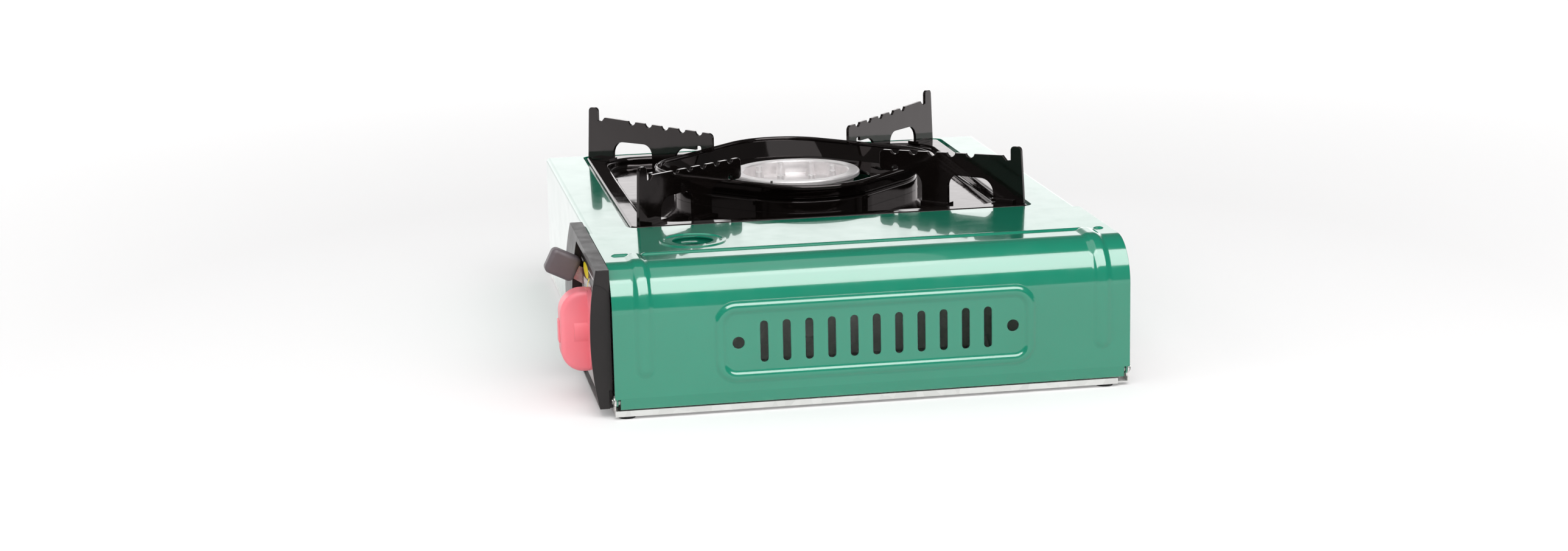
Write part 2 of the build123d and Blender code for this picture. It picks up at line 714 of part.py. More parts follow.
def make_hinge_pins():
    """Two rivets on the cover's hinge axis."""
    pins = []
    for side in (-1, 1):
        tail = half_depth - tray_sheet - slip - shell_sheet - slip
        y0, y1 = sorted((side * (half_depth + hinge_head), side * (tail - hinge_head)))
        pin = along_y(hinge_pin_radius, hinge_x, hinge_height, y0, y1)
        head = turned_y([(0, hinge_head), (hinge_head_radius * 0.6, hinge_head * 0.8),
                         (hinge_head_radius, hinge_head * 0.3), (hinge_head_radius, 0), (0, 0)])
        pin += Pos(hinge_x, side * half_depth, hinge_height) * Rot(0, 0, 0 if side < 0 else 180) * head
        tail0, tail1 = sorted((side * tail, side * (tail - hinge_head)))
        pin += along_y(hinge_pin_radius + 0.7, hinge_x, hinge_height, tail0, tail1)
        pins.append(pin)
    return pins


# ---- pan, windshield and pot supports --------------------------------------------------------
def diamond(size, corner):
    """Rounded square turned by 45 degrees about the burner axis."""
    return Pos(burner_x, burner_y) * Rot(0, 0, 45) * RectangleRounded(size, size, corner)


def pan_form(inset):
    """Solid under the pan's surface: the upper one, or the lower one inset by the sheet."""
    deep = recess_z - 8
    top = body_top - inset
    floor_z = recess_z - inset
    size = pan_size - 2 * inset
    form = plan_slab(Pos(burner_x, burner_y) * RectangleRounded(size, size, pan_corner - inset), deep - inset, top)
    form = fillet(form.faces().sort_by(Axis.Z)[-1].edges(), pan_edge_radius - inset)
    recess_size = pan_size - 2 * pan_border + 2 * inset
    hollow = plan_slab(Pos(burner_x, burner_y) * RectangleRounded(recess_size, recess_size, recess_corner + inset),
                       floor_z, top)
    form -= fillet(hollow.faces().sort_by(Axis.Z)[0].edges(), pan_bend_radius + inset)
    reach = recess_size / 2 + 1
    lip = [edge for edge in form.edges().filter_by_position(Axis.Z, top - 0.001, top + 0.001)
           if max(abs(edge.center().X - burner_x), abs(edge.center().Y - burner_y)) < reach]
    form = fillet(lip, pan_bend_radius - inset)
    centre = plan_slab(diamond(plateau_flat - 2 * inset, plateau_corner - inset), deep - inset, plateau_z - inset)
    centre = fillet(centre.faces().sort_by(Axis.Z)[-1].edges(), pan_edge_radius - inset)
    form += centre
    return form


def make_drip_pan():
    """Enamelled pan: folded rim, flat border, recess and raised vented centre, with rounded bends."""
    pan = pan_form(0) - pan_form(pan_sheet)
    # nothing but the recess and the raised centre reaches under the folded rim
    rim_bottom = body_top - pan_rim
    wide = pan_size + 2
    keep = pan_size - 2 * pan_border + 2 * pan_sheet + pan_bend_radius
    outside = Pos(burner_x, burner_y) * (Rectangle(wide, wide) - RectangleRounded(keep, keep, recess_corner))
    pan -= plan_slab(outside, recess_z - 10, rim_bottom)
    hole_bottom = recess_z - 10
    pan -= upright(burner_hole_radius, burner_x, burner_y, hole_bottom, plateau_z + 1)
    for i in range(vent_count):
        angle = 360 / vent_count * (i + 0.5)
        cut = extrude(Rot(0, 0, 90) * SlotOverall(vent_length, vent_width), 4, both=True)
        pan -= Pos(burner_x, burner_y, plateau_z) * Rot(0, 0, angle) * Pos(vent_circle, 0, 0) * cut
    return pan


def make_windshield():
    """Flared ring with a rolled rim, standing on the pan's raised centre."""
    rim_z = body_top + ring_rise - ring_bead
    foot = diamond(plateau_flat - 3, plateau_corner - 1.5)
    rim = diamond(ring_flat, ring_corner)
    foot_in = diamond(plateau_flat - 3 - 2 * ring_sheet, plateau_corner - 1.5 - ring_sheet)
    rim_in = diamond(ring_flat - 2 * ring_sheet, ring_corner - ring_sheet)
    outer = loft([Pos(0, 0, plateau_z) * foot, Pos(0, 0, rim_z) * rim])
    inner = loft([Pos(0, 0, plateau_z) * foot_in, Pos(0, 0, rim_z) * rim_in])
    ring = outer - inner
    line = Pos(0, 0, rim_z) * diamond(ring_flat - ring_sheet, ring_corner - ring_sheet / 2)
    path = line.face().outer_wire()
    section = Plane(path @ 0, z_dir=path % 0) * Circle(ring_bead)
    ring += sweep(section, path)
    return ring


def arm_outline():
    """Pot support in radius and height above the pan's border."""
    slope = (arm_top_outer - arm_top_inner) / (arm_outer - arm_post_width - 6 - arm_inner)

    def top_at(r):
        return arm_top_inner + slope * (r - arm_inner)

    inner_leg0, inner_leg1 = arm_inner_leg
    post_in = arm_outer - arm_post_lean - arm_post_width
    notch_in = post_in - 5.5
    body = Polyline(
        (arm_inner, arm_tip_bottom), (arm_inner, top_at(arm_inner)), (notch_in, top_at(notch_in)),
        (notch_in + 2.5, top_at(notch_in) - arm_notch_depth - 0.4), (post_in, top_at(notch_in) - arm_notch_depth),
        (post_in, arm_post_height), (arm_outer - arm_post_lean, arm_post_height), (arm_outer, 0),
        (arm_outer_leg, 0), (arm_outer_leg, arm_under), (inner_leg1, arm_under), (inner_leg1, -recess_depth),
        (inner_leg0, -recess_depth), (inner_leg0, arm_under), (arm_inner + 12.5, arm_under),
        (arm_inner + 12.5, arm_under + arm_hook_depth), (arm_inner + 8.5, arm_under + arm_hook_depth),
        (arm_inner + 8.5, arm_tip_bottom), close=True)
    face = Face(Wire(body.edges()))

    def corner(r, h):
        return face.vertices().sort_by(lambda v: (v.X - r) ** 2 + (v.Y - h) ** 2)[0]

    soft = [
        ((arm_inner, top_at(arm_inner)), 3.0), ((arm_inner, arm_tip_bottom), 2.5),
        ((post_in, arm_post_height), 2.4), ((arm_outer - arm_post_lean, arm_post_height), 2.4),
        ((arm_outer_leg, arm_under), arm_window_corner), ((inner_leg1, arm_under), arm_window_corner * 0.8),
        ((inner_leg0, arm_under), arm_window_corner),
        ((arm_inner + 12.5, arm_under + arm_hook_depth), 1.2), ((arm_inner + 8.5, arm_under + arm_hook_depth), 1.2),
    ]
    for (r, h), radius in soft:
        face = fillet(corner(r, h), radius).face()
    for i in range(arm_notch_count):
        r = arm_first_notch - i * arm_notch_pitch
        h = top_at(r)
        notch = Pos(r, h + arm_notch_width / 2 - arm_notch_depth) * Circle(arm_notch_width / 2)
        face = (face - notch).face()
    return face


def make_arm(index):
    """One pot support, on its diagonal, with a folded flange under each leg."""
    plate = Pos(0, arm_sheet / 2, 0) * extrude(Plane.XZ * arm_outline(), arm_sheet)
    inner_leg0, inner_leg1 = arm_inner_leg
    side = arm_sheet / 2
    flange_in = block(inner_leg0, inner_leg1, -side, side + arm_flange, -recess_depth, -recess_depth + arm_sheet)
    flange_out = block(arm_outer_leg, arm_outer - 6, -side, side + arm_flange, 0, arm_sheet)
    arm = plate + flange_in + flange_out
    return Pos(burner_x, burner_y, body_top) * Rot(0, 0, 45 + 90 * index) * arm


# ---- burner ----------------------------------------------------------------------------------
def turned(points, x=0.0, y=0.0):
    """Solid of revolution about a vertical axis from radius and height points."""
    face = make_face(Polyline([(r, 0, z) for r, z in points], close=True))
    return Pos(x, y, 0) * revolve(face, Axis.Z)


def gas_line(radius, start, end):
    """Cylinder on the straight line from the burner axis to the regulator, at the gas height."""
    middle = (start + end) / 2
    return (Pos(burner_x, burner_y, gas_z) * Rot(0, 0, line_angle) * Pos(middle, 0, 0)
            * Rot(0, 90, 0) * Cylinder(radius, end - start))


def gas_turned(points):
    """Solid of revolution about the gas line, from distance and radius points."""
    face = make_face(Polyline([(d, 0, r) for d, r in points], close=True))
    return Pos(burner_x, burner_y, gas_z) * Rot(0, 0, line_angle) * revolve(face, Axis.X)


def make_burner_body():
    """Cast cup on a hollow neck, with a boss for the mixing tube."""
    rim_z = head_top - head_height
    inside = neck_radius - 2.5
    points = cup_points() + [
        (cup_radius - 2, rim_z), (cup_radius - 2, cup_floor + 1), (neck_radius + 2, neck_top + 7.5),
        (inside, neck_top + 1), (inside, neck_bottom + 3), (0, neck_bottom + 3),
    ]
    body = turned(points, burner_x, burner_y)
    boss = gas_line(tube_outlet_radius + tube_wall + 2, neck_radius - 2, neck_radius + 8)
    boss -= upright(inside + 0.1, burner_x, burner_y, neck_bottom, neck_top + 1)
    body += boss
    body -= gas_line(tube_outlet_radius + tube_wall + touch_gap, neck_radius + 1, neck_radius + 9)
    body -= gas_line(tube_outlet_radius, 0, neck_radius + 2)
    for x, y in burner_screw_places():
        body -= upright(1.5, x, y, neck_bottom - 1, neck_bottom + 2.6)
    return body


def cup_points():
    """Outside of the cup on its neck, as radius and height points up to the rim."""
    return [(0, neck_bottom), (neck_radius, neck_bottom), (neck_radius, neck_top), (neck_radius + 4, neck_top + 5),
            (cup_radius, cup_floor), (cup_radius, head_top - head_height)]


def burner_screw_places():
    return [(burner_x, burner_y - 9), (burner_x, burner_y + 9)]


def make_burner_head():
    """Turned dish with eight hollow posts inside its rim."""
    seat_z = head_top - head_height
    floor_z = head_top - dish_depth
    spigot = cup_radius - 2 - slip
    points = [
        (0, floor_z - 2), (spigot - 1.3, floor_z - 2), (spigot, seat_z - 3), (spigot, seat_z), (cup_radius + 1, seat_z),
        (cup_radius + 1.8, head_top - 4.5), (head_radius, head_top - 2.6), (head_radius, head_top - 0.7),
        (head_radius - 0.7, head_top), (head_radius - head_rim + 0.6, head_top),
        (head_radius - head_rim, head_top - 0.6), (head_radius - head_rim - 1.0, floor_z), (0, floor_z),
    ]
    head = turned(points, burner_x, burner_y)
    for i in range(post_count):
        place = (Pos(burner_x, burner_y, floor_z + post_height / 2) * Rot(0, 0, post_start + 360 / post_count * i)
                 * Pos(post_circle, 0, 0))
        head += place * Cone(post_base_radius, post_top_radius, post_height)
    for i in range(post_count):
        place = (Pos(burner_x, burner_y, floor_z + post_height / 2) * Rot(0, 0, post_start + 360 / post_count * i)
                 * Pos(post_circle, 0, 0))
        head -= place * Cylinder(post_bore, post_height + 8)
    return head


def make_mixing_tube():
    """Cast tube from the trumpet mouth to the burner's neck."""
    end = neck_radius + 2
    mouth = mouth_distance
    wall = tube_wall
    outer = [
        (end, tube_outlet_radius + wall), (60, tube_outlet_radius + wall), (mouth - 34, tube_throat_radius + wall),
        (mouth - 22, tube_throat_radius + wall), (mouth - 6, tube_mouth_radius - 1.5),
        (mouth, tube_mouth_radius + wall),
    ]
    inner = [
        (mouth, tube_mouth_radius), (mouth - 6, tube_mouth_radius - 3.5), (mouth - 22, tube_throat_radius),
        (mouth - 34, tube_throat_radius), (60, tube_outlet_radius), (end, tube_outlet_radius),
    ]
    return gas_turned(outer + inner)


def make_burner_bracket():
    """Bent steel stand under the burner's neck."""
    z1 = neck_bottom
    wide = 34.0
    deep = 24.0
    top = block(burner_x - wide / 2, burner_x + wide / 2, burner_y - deep / 2, burner_y + deep / 2,
                z1 - plate_sheet, z1)
    for side in (-1, 1):
        x0, x1 = sorted((burner_x + side * wide / 2, burner_x + side * (wide / 2 - plate_sheet)))
        top += block(x0, x1, burner_y - deep / 2, burner_y + deep / 2, tray_floor, z1)
        f0, f1 = sorted((burner_x + side * wide / 2, burner_x + side * (wide / 2 + 10)))
        top += block(f0, f1, burner_y - deep / 2, burner_y + deep / 2, tray_floor, tray_floor + plate_sheet)
    for x, y in burner_screw_places():
        top -= upright(1.6, x, y, z1 - plate_sheet - 1, z1 + 1)
    return top


def make_burner_screws():
    """Screws through the bracket into the neck's floor."""
    screws = []
    for x, y in burner_screw_places():
        head_top_z = neck_bottom - plate_sheet
        screw = upright(1.45, x, y, head_top_z, neck_bottom + 2.4)
        screw += upright(2.8, x, y, head_top_z - 1.8, head_top_z)
        screws.append(screw)
    return screws


# ---- regulator, valve and igniter ------------------------------------------------------------
def make_regulator_body():
    """Die-cast valve body with the diaphragm chamber, outlet boss and inlet flange."""
    body = along_y(valve_radius, gas_x, gas_z, valve_front_y, valve_rear_y)
    body += upright(chamber_radius, gas_x, regulator_y, chamber_bottom, chamber_top)
    body += along_y(inlet_radius, gas_x, gas_z, valve_rear_y - 0.1, stop_plate_y)
    body += gas_line(6.0, line_length - chamber_radius - 6, line_length - 15)
    for x, z in standoff_places():
        body += along_y(standoff_radius, x, z, -bay_plate_y + plate_sheet / 2, valve_front_y + 3)
    body += side_slab(Pos(gas_x - 6, gas_z) * RectangleRounded(22, 2 * standoff_offset + 7, 3),
                      valve_front_y, valve_front_y + 4)
    body -= gas_line(pipe_radius + touch_gap, line_length - chamber_radius - 7, line_length - 18)
    body -= along_y(spindle_radius + spindle_fit, gas_x, gas_z, valve_front_y - 1, valve_front_y + 14)
    body -= upright(chamber_radius - 4, gas_x, regulator_y, chamber_top - 4, chamber_top + 1)
    return body


def make_diaphragm():
    """Rubber disc clamped between the chamber and its cover."""
    return upright(chamber_radius, gas_x, regulator_y, chamber_top, chamber_top + 0.8)


def make_regulator_cover():
    """Pressed cover with a domed spring housing."""
    z0 = chamber_top + 0.8
    dome = chamber_radius - 7
    points = [
        (0, z0 + cap_height), (dome - 4, z0 + cap_height), (dome - 2.4, z0 + cap_height - 2),
        (dome, z0 + cap_flange + 2), (dome + 1.2, z0 + cap_flange), (chamber_radius, z0 + cap_flange),
        (chamber_radius, z0), (dome, z0), (dome - 1.2, z0 + 2), (dome - 4, z0 + cap_height - 1.4),
        (0, z0 + cap_height - 1.4),
    ]
    cover = turned(points, gas_x, regulator_y)
    for x, y in cover_screw_places():
        cover -= upright(1.3, x, y, z0 - 1, z0 + cap_flange + 1)
    return cover


def cover_screw_places():
    radius = chamber_radius - 3
    return [(gas_x + radius * math.cos(math.radians(45 + 90 * i)),
             regulator_y + radius * math.sin(math.radians(45 + 90 * i))) for i in range(4)]


def make_cover_screws():
    """Pan-head screws on the regulator cover."""
    z0 = chamber_top + 0.8
    screws = []
    for x, y in cover_screw_places():
        screw = upright(1.25, x, y, z0, z0 + cap_flange)
        screw += upright(2.4, x, y, z0 + cap_flange, z0 + cap_flange + 1.4)
        screws.append(screw)
    return screws


def make_stop_plate():
    """Plate that the cartridge's collar meets, with the guide tongue on top."""
    y0 = stop_plate_y
    y1 = y0 + plate_sheet
    wide = stop_plate_width
    outline = Pos(gas_x, (tray_floor + stop_plate_top) / 2) * Rectangle(wide, stop_plate_top - tray_floor)
    outline = fillet(outline.vertices().group_by(Axis.Y)[-1], 14)
    outline -= Pos(gas_x, gas_z) * Circle(nozzle_radius + 4.5)
    plate = side_slab(outline, y0, y1)
    plate += block(gas_x - wide / 2, gas_x + wide / 2, y0 - 8, y0, tray_floor, tray_floor + plate_sheet)
    tongue_z = stop_plate_top - 6
    plate += block(gas_x - 2.5, gas_x + 2.5, y1, y1 + 5, tongue_z, tongue_z + plate_sheet)
    return plate


def make_nozzle():
    """Brass inlet nozzle that opens the cartridge's valve."""
    nozzle = along_y(nozzle_radius, gas_x, gas_z, stop_plate_y, stop_plate_y + plate_sheet + nozzle_reach)
    nozzle -= along_y(0.8, gas_x, gas_z, stop_plate_y + 1, stop_plate_y + 10)
    return nozzle


def make_inlet_seal():
    """Rubber ring around the nozzle."""
    ring = along_y(nozzle_radius + 3.5, gas_x, gas_z, stop_plate_y, stop_plate_y + plate_sheet + 1)
    ring -= along_y(nozzle_radius + touch_gap, gas_x, gas_z, stop_plate_y - 1, stop_plate_y + 9)
    return ring


def make_spindle():
    """Valve spindle with a flat where the knob sits."""
    front = plate_front_y - knob_gap - 12
    spindle = along_y(spindle_radius, gas_x, gas_z, front, valve_front_y + 12)
    spindle -= block(gas_x - 5, gas_x + 5, front - 1, plate_front_y - knob_gap + 0.5, gas_z + 2, gas_z + 5)
    return spindle


def cam_radius(turn):
    """Cam radius met by the plunger after a turn of the knob, in degrees."""
    return cam_low_radius + cam_lift * min(turn, knob_turn) / knob_turn


def make_ignition_cam():
    """Spiral cam that drives the igniter's plunger."""
    steps = 10
    rise = [knob_turn * i / steps for i in range(steps + 1)]
    points = [(cam_radius(t) * math.cos(math.radians(-t)), cam_radius(t) * math.sin(math.radians(-t))) for t in rise]
    last = knob_turn + 25
    low = (cam_low_radius * math.cos(math.radians(25)), cam_low_radius * math.sin(math.radians(25)))
    high = ((cam_low_radius + cam_lift) * math.cos(math.radians(-last)),
            (cam_low_radius + cam_lift) * math.sin(math.radians(-last)))
    with BuildSketch() as sketch:
        with BuildLine():
            Spline(*points)
            RadiusArc(points[-1], high, cam_low_radius + cam_lift)
            Line(high, (cam_low_radius * math.cos(math.radians(-last - 25)),
                        cam_low_radius * math.sin(math.radians(-last - 25))))
            RadiusArc((cam_low_radius * math.cos(math.radians(-last - 25)),
                       cam_low_radius * math.sin(math.radians(-last - 25))), points[0], cam_low_radius)
        make_face()
    outline = sketch.sketch - Circle(spindle_radius + spindle_fit)
    return side_slab(Pos(gas_x, gas_z) * outline, cam_y - cam_thickness / 2, cam_y + cam_thickness / 2)


def make_igniter():
    """Piezo igniter block on the front plate."""
    y0 = -bay_plate_y + plate_sheet / 2
    igniter = block(igniter_left, igniter_right, y0, y0 + igniter_depth, gas_z - igniter_height / 2,
                    gas_z + igniter_height / 2)
    igniter = fillet(igniter.edges().filter_by(Axis.X), 1.2)
    igniter -= along_x(plunger_radius + spindle_fit, cam_y, gas_z, igniter_left - 1, igniter_right - 5)
    return igniter


def make_plunger():
    """Plunger that the cam pushes into the igniter."""
    tip = gas_x + cam_low_radius + plunger_gap
    return along_x(plunger_radius, cam_y, gas_z, tip, igniter_right - 5 - cam_lift - 0.5)


def make_gas_pipe():
    """Straight pipe from the regulator to the jet."""
    pipe = gas_line(pipe_radius, jet_distance + 2, line_length - 18.5)
    return pipe - gas_line(pipe_radius - 1, jet_distance, line_length)


def make_jet():
    """Brass jet on the end of the pipe."""
    jet = (Pos(burner_x, burner_y, gas_z) * Rot(0, 0, line_angle) * Pos(jet_distance - jet_length / 2 + 6, 0, 0)
           * Rot(0, 90, 0) * extrude(RegularPolygon(jet_radius, 6), jet_length / 2, both=True))
    jet += gas_line(2.5, jet_distance - 6, jet_distance + 2)
    jet -= gas_line(pipe_radius + touch_gap, jet_distance + 2, jet_distance + jet_length)
    jet -= gas_line(0.5, jet_distance - 7, jet_distance + 3)
    return jet


def electrode_place():
    angle = math.radians(electrode_angle)
    return burner_x + electrode_circle * math.cos(angle), burner_y + electrode_circle * math.sin(angle)


def make_electrode_body():
    """Ceramic insulator beside the burner."""
    x, y = electrode_place()
    body = upright(electrode_radius, x, y, electrode_bottom + 3, body_top + 1.5)
    return body - upright(electrode_wire + touch_gap, x, y, electrode_bottom, body_top + 5)


def make_electrode_tip():
    """Steel wire through the insulator."""
    x, y = electrode_place()
    return upright(electrode_wire, x, y, electrode_bottom, head_top + 1.0)


def make_electrode_clip():
    """Spring clip that holds the insulator to the burner cup."""
    x, y = electrode_place()
    clip = upright(electrode_radius + 1.2, x, y, 58, 64)
    angle = Rot(0, 0, electrode_angle)
    web = Pos(burner_x, burner_y, 61) * angle * Pos(34, 0, 0) * Box(14, 6, 1.2)
    clip += web
    clip -= upright(electrode_radius + touch_gap, x, y, 57, 65)
    clip -= cup_space()
    return clip


def cup_space():
    """The burner cup's outer volume, for parts that seat on it."""
    return turned(cup_points() + [(0, head_top - head_height)], burner_x, burner_y)


def make_ignition_wire():
    """Insulated wire from the igniter over the tray's floor, through the divider, to the electrode."""
    x, y = electrode_place()
    start_x = (igniter_left + igniter_right) / 2
    start_y = -bay_plate_y + plate_sheet / 2 + igniter_depth / 2
    igniter_z = gas_z - igniter_height / 2
    low = wire_height
    end_z = electrode_bottom + wire_radius + touch_gap
    route = [
        (start_x, start_y, igniter_z), (start_x, start_y, igniter_z - 11),
        (start_x - 8, start_y + 5, low + 1.5), (start_x - 25, start_y + 14, low),
        (start_x - 49, start_y + 26, low + 0.5), (divider_x, wire_hole_y, wire_hole_z),
        (divider_x - 30, wire_hole_y + 8, wire_hole_z + 6), (divider_x - 58, wire_hole_y + 22, wire_hole_z + 18),
        (x + 9, y - 38, end_z - 14), (x, y - 18, end_z), (x, y - electrode_wire - touch_gap, end_z),
    ]
    spans = [math.dist(a, b) for a, b in zip(route, route[1:])]
    radii = []
    for i in range(1, len(route) - 1):
        before = Vector(*route[i]) - Vector(*route[i - 1])
        after = Vector(*route[i + 1]) - Vector(*route[i])
        half_turn = math.radians(before.get_angle(after)) / 2
        radii.append(0.45 * min(spans[i - 1], spans[i]) / math.tan(half_turn))
    print("ignition wire radii", [round(radius, 1) for radius in radii])
    path = FilletPolyline(*route, radius=radii)
    section = Plane(path @ 0, z_dir=path % 0) * Circle(wire_radius)
    wire = sweep(section, path)
    print("ignition wire length", round(path.length, 1), "volume ratio",
          round(wire.volume / (math.pi * wire_radius ** 2 * path.length), 4))
    return wire


# ---- control panel ---------------------------------------------------------------------------
def make_housing():
    """Moulded control housing: bowed cheeks, brow, recessed face and a slot for the lever."""
    y_back = -half_depth - housing_back_gap
    y_edge = -half_depth - housing_edge_depth
    y_mid = y_edge - housing_bulge
    z_mid = (housing_bottom + housing_top) / 2
    with BuildSketch(Plane.YZ) as side:
        with BuildLine():
            Line((y_back, housing_bottom), (y_back, housing_top))
            Line((y_back, housing_top), (y_edge, housing_top))
            ThreePointArc((y_edge, housing_top), (y_mid, z_mid), (y_edge, housing_bottom))
            Line((y_edge, housing_bottom), (y_back, housing_bottom))
        make_face()
    housing = Pos(housing_left, 0, 0) * extrude(side.sketch, housing_right - housing_left)
    housing = fillet(housing.edges().filter_by(lambda e: e.geom_type != GeomType.LINE), housing_edge_round)
    # hollowed sides of the cheeks, under the brow
    hollow_top = housing_top - brow_height
    with BuildSketch(Plane.YZ) as hollow:
        with BuildLine():
            Line((y_mid - 1, housing_bottom - 1), (y_mid - 1, hollow_top))
            Line((y_mid - 1, hollow_top), (y_edge, hollow_top))
            ThreePointArc((y_edge, hollow_top), (y_edge + 0.72 * (y_back - y_edge), hollow_top - 0.3 * cheek_drop),
                          (y_back + 1, hollow_top - cheek_drop))
            Line((y_back + 1, hollow_top - cheek_drop), (y_back + 1, housing_bottom - 1))
            Line((y_back + 1, housing_bottom - 1), (y_mid - 1, housing_bottom - 1))
        make_face()
    housing -= Pos(housing_left, 0, 0) * extrude(hollow.sketch, cheek_hollow, both=True)
    housing -= Pos(housing_right, 0, 0) * extrude(hollow.sketch, cheek_hollow, both=True)
    # recess in front of the face, from the lever's slot to the right cheek
    housing -= block(face_left, housing_right - housing_wall, y_mid - 1, face_front_y,
                     housing_bottom + housing_lip, housing_top - housing_wall)
    # hollow behind the face, and behind the bowed front on the lever's left
    housing -= block(housing_left + housing_wall, housing_right - housing_wall, face_front_y + face_wall, y_back + 1,
                     housing_bottom + housing_wall, housing_top - housing_wall)
    bowed = Pos(housing_left, housing_wall, 0) * extrude(side.sketch, housing_right - housing_left)
    housing -= bowed & block(housing_left + housing_wall, face_left - housing_wall, y_mid, y_back + 1,
                             housing_bottom + housing_wall, housing_top - housing_wall)
    for x, z in housing_screw_places():
        housing += along_y(4.0, x, z, face_front_y + face_wall / 2, y_back)
        housing -= along_y(1.3, x, z, face_front_y + face_wall, y_back + 1)
    # the lower right corner is cut away around the hinge pin's head
    housing -= block(hinge_x - hinge_head_radius - hinge_head_room, housing_right + 1,
                     -half_depth - hinge_head - hinge_head_room, y_back + 1,
                     housing_bottom - 1, hinge_height + hinge_head_radius + 3)
    housing -= along_y(spindle_radius + 1.0, gas_x, gas_z, y_mid, y_back + 1)
    housing -= block(lever_x - lever_slot, lever_x + lever_slot, y_mid, y_back + 1, 31, 66)
    return housing


def make_face_plate():
    """Thin printed plate on the recessed face."""
    x0 = face_left + slip
    x1 = housing_right - housing_wall - slip
    z0 = housing_bottom + housing_lip + slip
    z1 = housing_top - housing_wall - slip
    plate = block(x0, x1, plate_front_y, face_front_y, z0, z1)
    plate -= along_y(spindle_radius + 1.0, gas_x, gas_z, plate_front_y - 1, face_front_y + 1)
    plate -= block(lever_x - lever_slot, lever_x + lever_slot, plate_front_y - 1, face_front_y + 1, 31, 66)
    return plate


def make_housing_screws():
    """Screws from the bay through the front plate into the housing."""
    y_plate_back = -bay_plate_y + plate_sheet / 2
    screws = []
    for x, z in housing_screw_places():
        screw = along_y(1.25, x, z, face_front_y + face_wall + 0.3, y_plate_back)
        screw += along_y(2.8, x, z, y_plate_back, y_plate_back + 1.8)
        screws.append(screw)
    return screws


def make_knob():
    """Knob: thin skirt with a full-height grip bar."""
    y_back = plate_front_y - knob_gap
    y_front = y_back - knob_depth
    knob = along_y(knob_radius, gas_x, gas_z, y_back - knob_skirt, y_back)
    bar = block(gas_x - knob_bar_width / 2, gas_x + knob_bar_width / 2, y_front, y_back - knob_skirt + 0.5,
                gas_z - knob_radius + 0.4, gas_z + knob_radius - 0.4)
    front_edges = bar.edges().filter_by(Axis.X).group_by(Axis.Y)[0]
    bar = fillet(front_edges, knob_bar_corner)
    long_edges = [e for e in bar.edges() if e.geom_type != GeomType.LINE or abs(e.center().Y - y_front) < 0.1]
    bar = fillet([e for e in long_edges if abs(abs(e.center().X - gas_x) - knob_bar_width / 2) < 0.1], 2.5)
    hub = along_y(9.0, gas_x, gas_z, y_back - 10, y_back - knob_skirt + 0.5)
    pointer = block(gas_x - pointer_width / 2, gas_x + pointer_width / 2, y_front - pointer_rise, y_front + 1,
                    gas_z - pointer_length / 2, gas_z + pointer_length / 2)
    pointer = fillet(pointer.faces().sort_by(Axis.Y)[0].edges(), 0.6)
    knob += bar
    knob += pointer
    knob += hub
    bore_end = y_back - 12.2
    bore = along_y(spindle_radius + spindle_fit, gas_x, gas_z, bore_end, y_back + 1)
    bore -= block(gas_x - 5, gas_x + 5, bore_end - 1, y_back - 0.4, gas_z + 2 + spindle_fit, gas_z + 5)
    return knob - bore


# ---- lock lever and push bar -----------------------------------------------------------------
def link_start():
    """Rest place of the link pin, in Y and Z."""
    swing = math.radians(lever_half_swing)
    return (lever_pivot_y + lever_link_radius * math.sin(swing),
            lever_pivot_z + lever_link_radius * math.cos(swing))


def hull_of(circles):
    """Outline around circles, each given by its centre and radius."""
    edges = []
    for y, z, radius in circles:
        edges += (Pos(y, z) * Circle(radius)).edges()
    return make_hull(edges)


def yz_slab(sketch, x0, x1):
    """An outline drawn in Y and Z, extruded between two X places."""
    return Pos(x0, 0, 0) * extrude(Plane.YZ * sketch, x1 - x0)


def make_lever():
    """Steel bell crank: hub, arm to the grip and upper arm to the link pin."""
    link_y, link_z = link_start()
    rise = math.radians(grip_rise)
    end_y = grip_root_y - (grip_length - 6) * math.cos(rise)
    end_z = grip_root_z + (grip_length - 6) * math.sin(rise)
    outline = hull_of([(lever_pivot_y, lever_pivot_z, lever_hub_radius), (link_y, link_z, 4.2)])
    outline += hull_of([(lever_pivot_y, lever_pivot_z, lever_hub_radius), (grip_root_y + 8, grip_root_z - 6, 4.0)])
    outline += hull_of([(grip_root_y + 8, grip_root_z - 6, 4.0), (end_y, end_z, 3.5)])
    outline -= Pos(lever_pivot_y, lever_pivot_z) * Circle(lever_pin_radius + spindle_fit)
    outline -= Pos(link_y, link_z) * Circle(link_pin_radius + spindle_fit)
    return yz_slab(outline, lever_x - lever_sheet / 2, lever_x + lever_sheet / 2)


def make_lever_grip():
    """Moulded grip on the lever's outer end."""
    outline = Pos(-grip_length / 2, 0) * RectangleRounded(grip_length, grip_height, 3.0)
    grip = extrude(Plane.YZ * outline, grip_width / 2, both=True)
    grip = fillet(grip.edges().filter_by(lambda e: e.center().Y < -grip_length / 2 - 1), 2.4)
    grip = Pos(lever_x, grip_root_y, grip_root_z) * Rot(-grip_rise, 0, 0) * grip
    return grip - lever_space()


def lever_space():
    """Room for the lever's end inside the grip."""
    rise = math.radians(grip_rise)
    end_y = grip_root_y - (grip_length - 6) * math.cos(rise)
    end_z = grip_root_z + (grip_length - 6) * math.sin(rise)
    fit = spindle_fit
    outline = hull_of([(grip_root_y + 8, grip_root_z - 6, 4.0 + fit), (end_y, end_z, 3.5 + fit)])
    half = lever_sheet / 2 + fit
    return yz_slab(outline, lever_x - half, lever_x + half)


def make_lever_pivot():
    """Pin through the divider, the lever and the bracket."""
    x0 = divider_x - plate_sheet / 2 - 1.5
    x1 = lever_x + 6.7
    pin = along_x(lever_pin_radius, lever_pivot_y, lever_pivot_z, x0, x1)
    pin += along_x(lever_pin_radius + 1.2, lever_pivot_y, lever_pivot_z, x0, x0 + 1.5)
    return pin


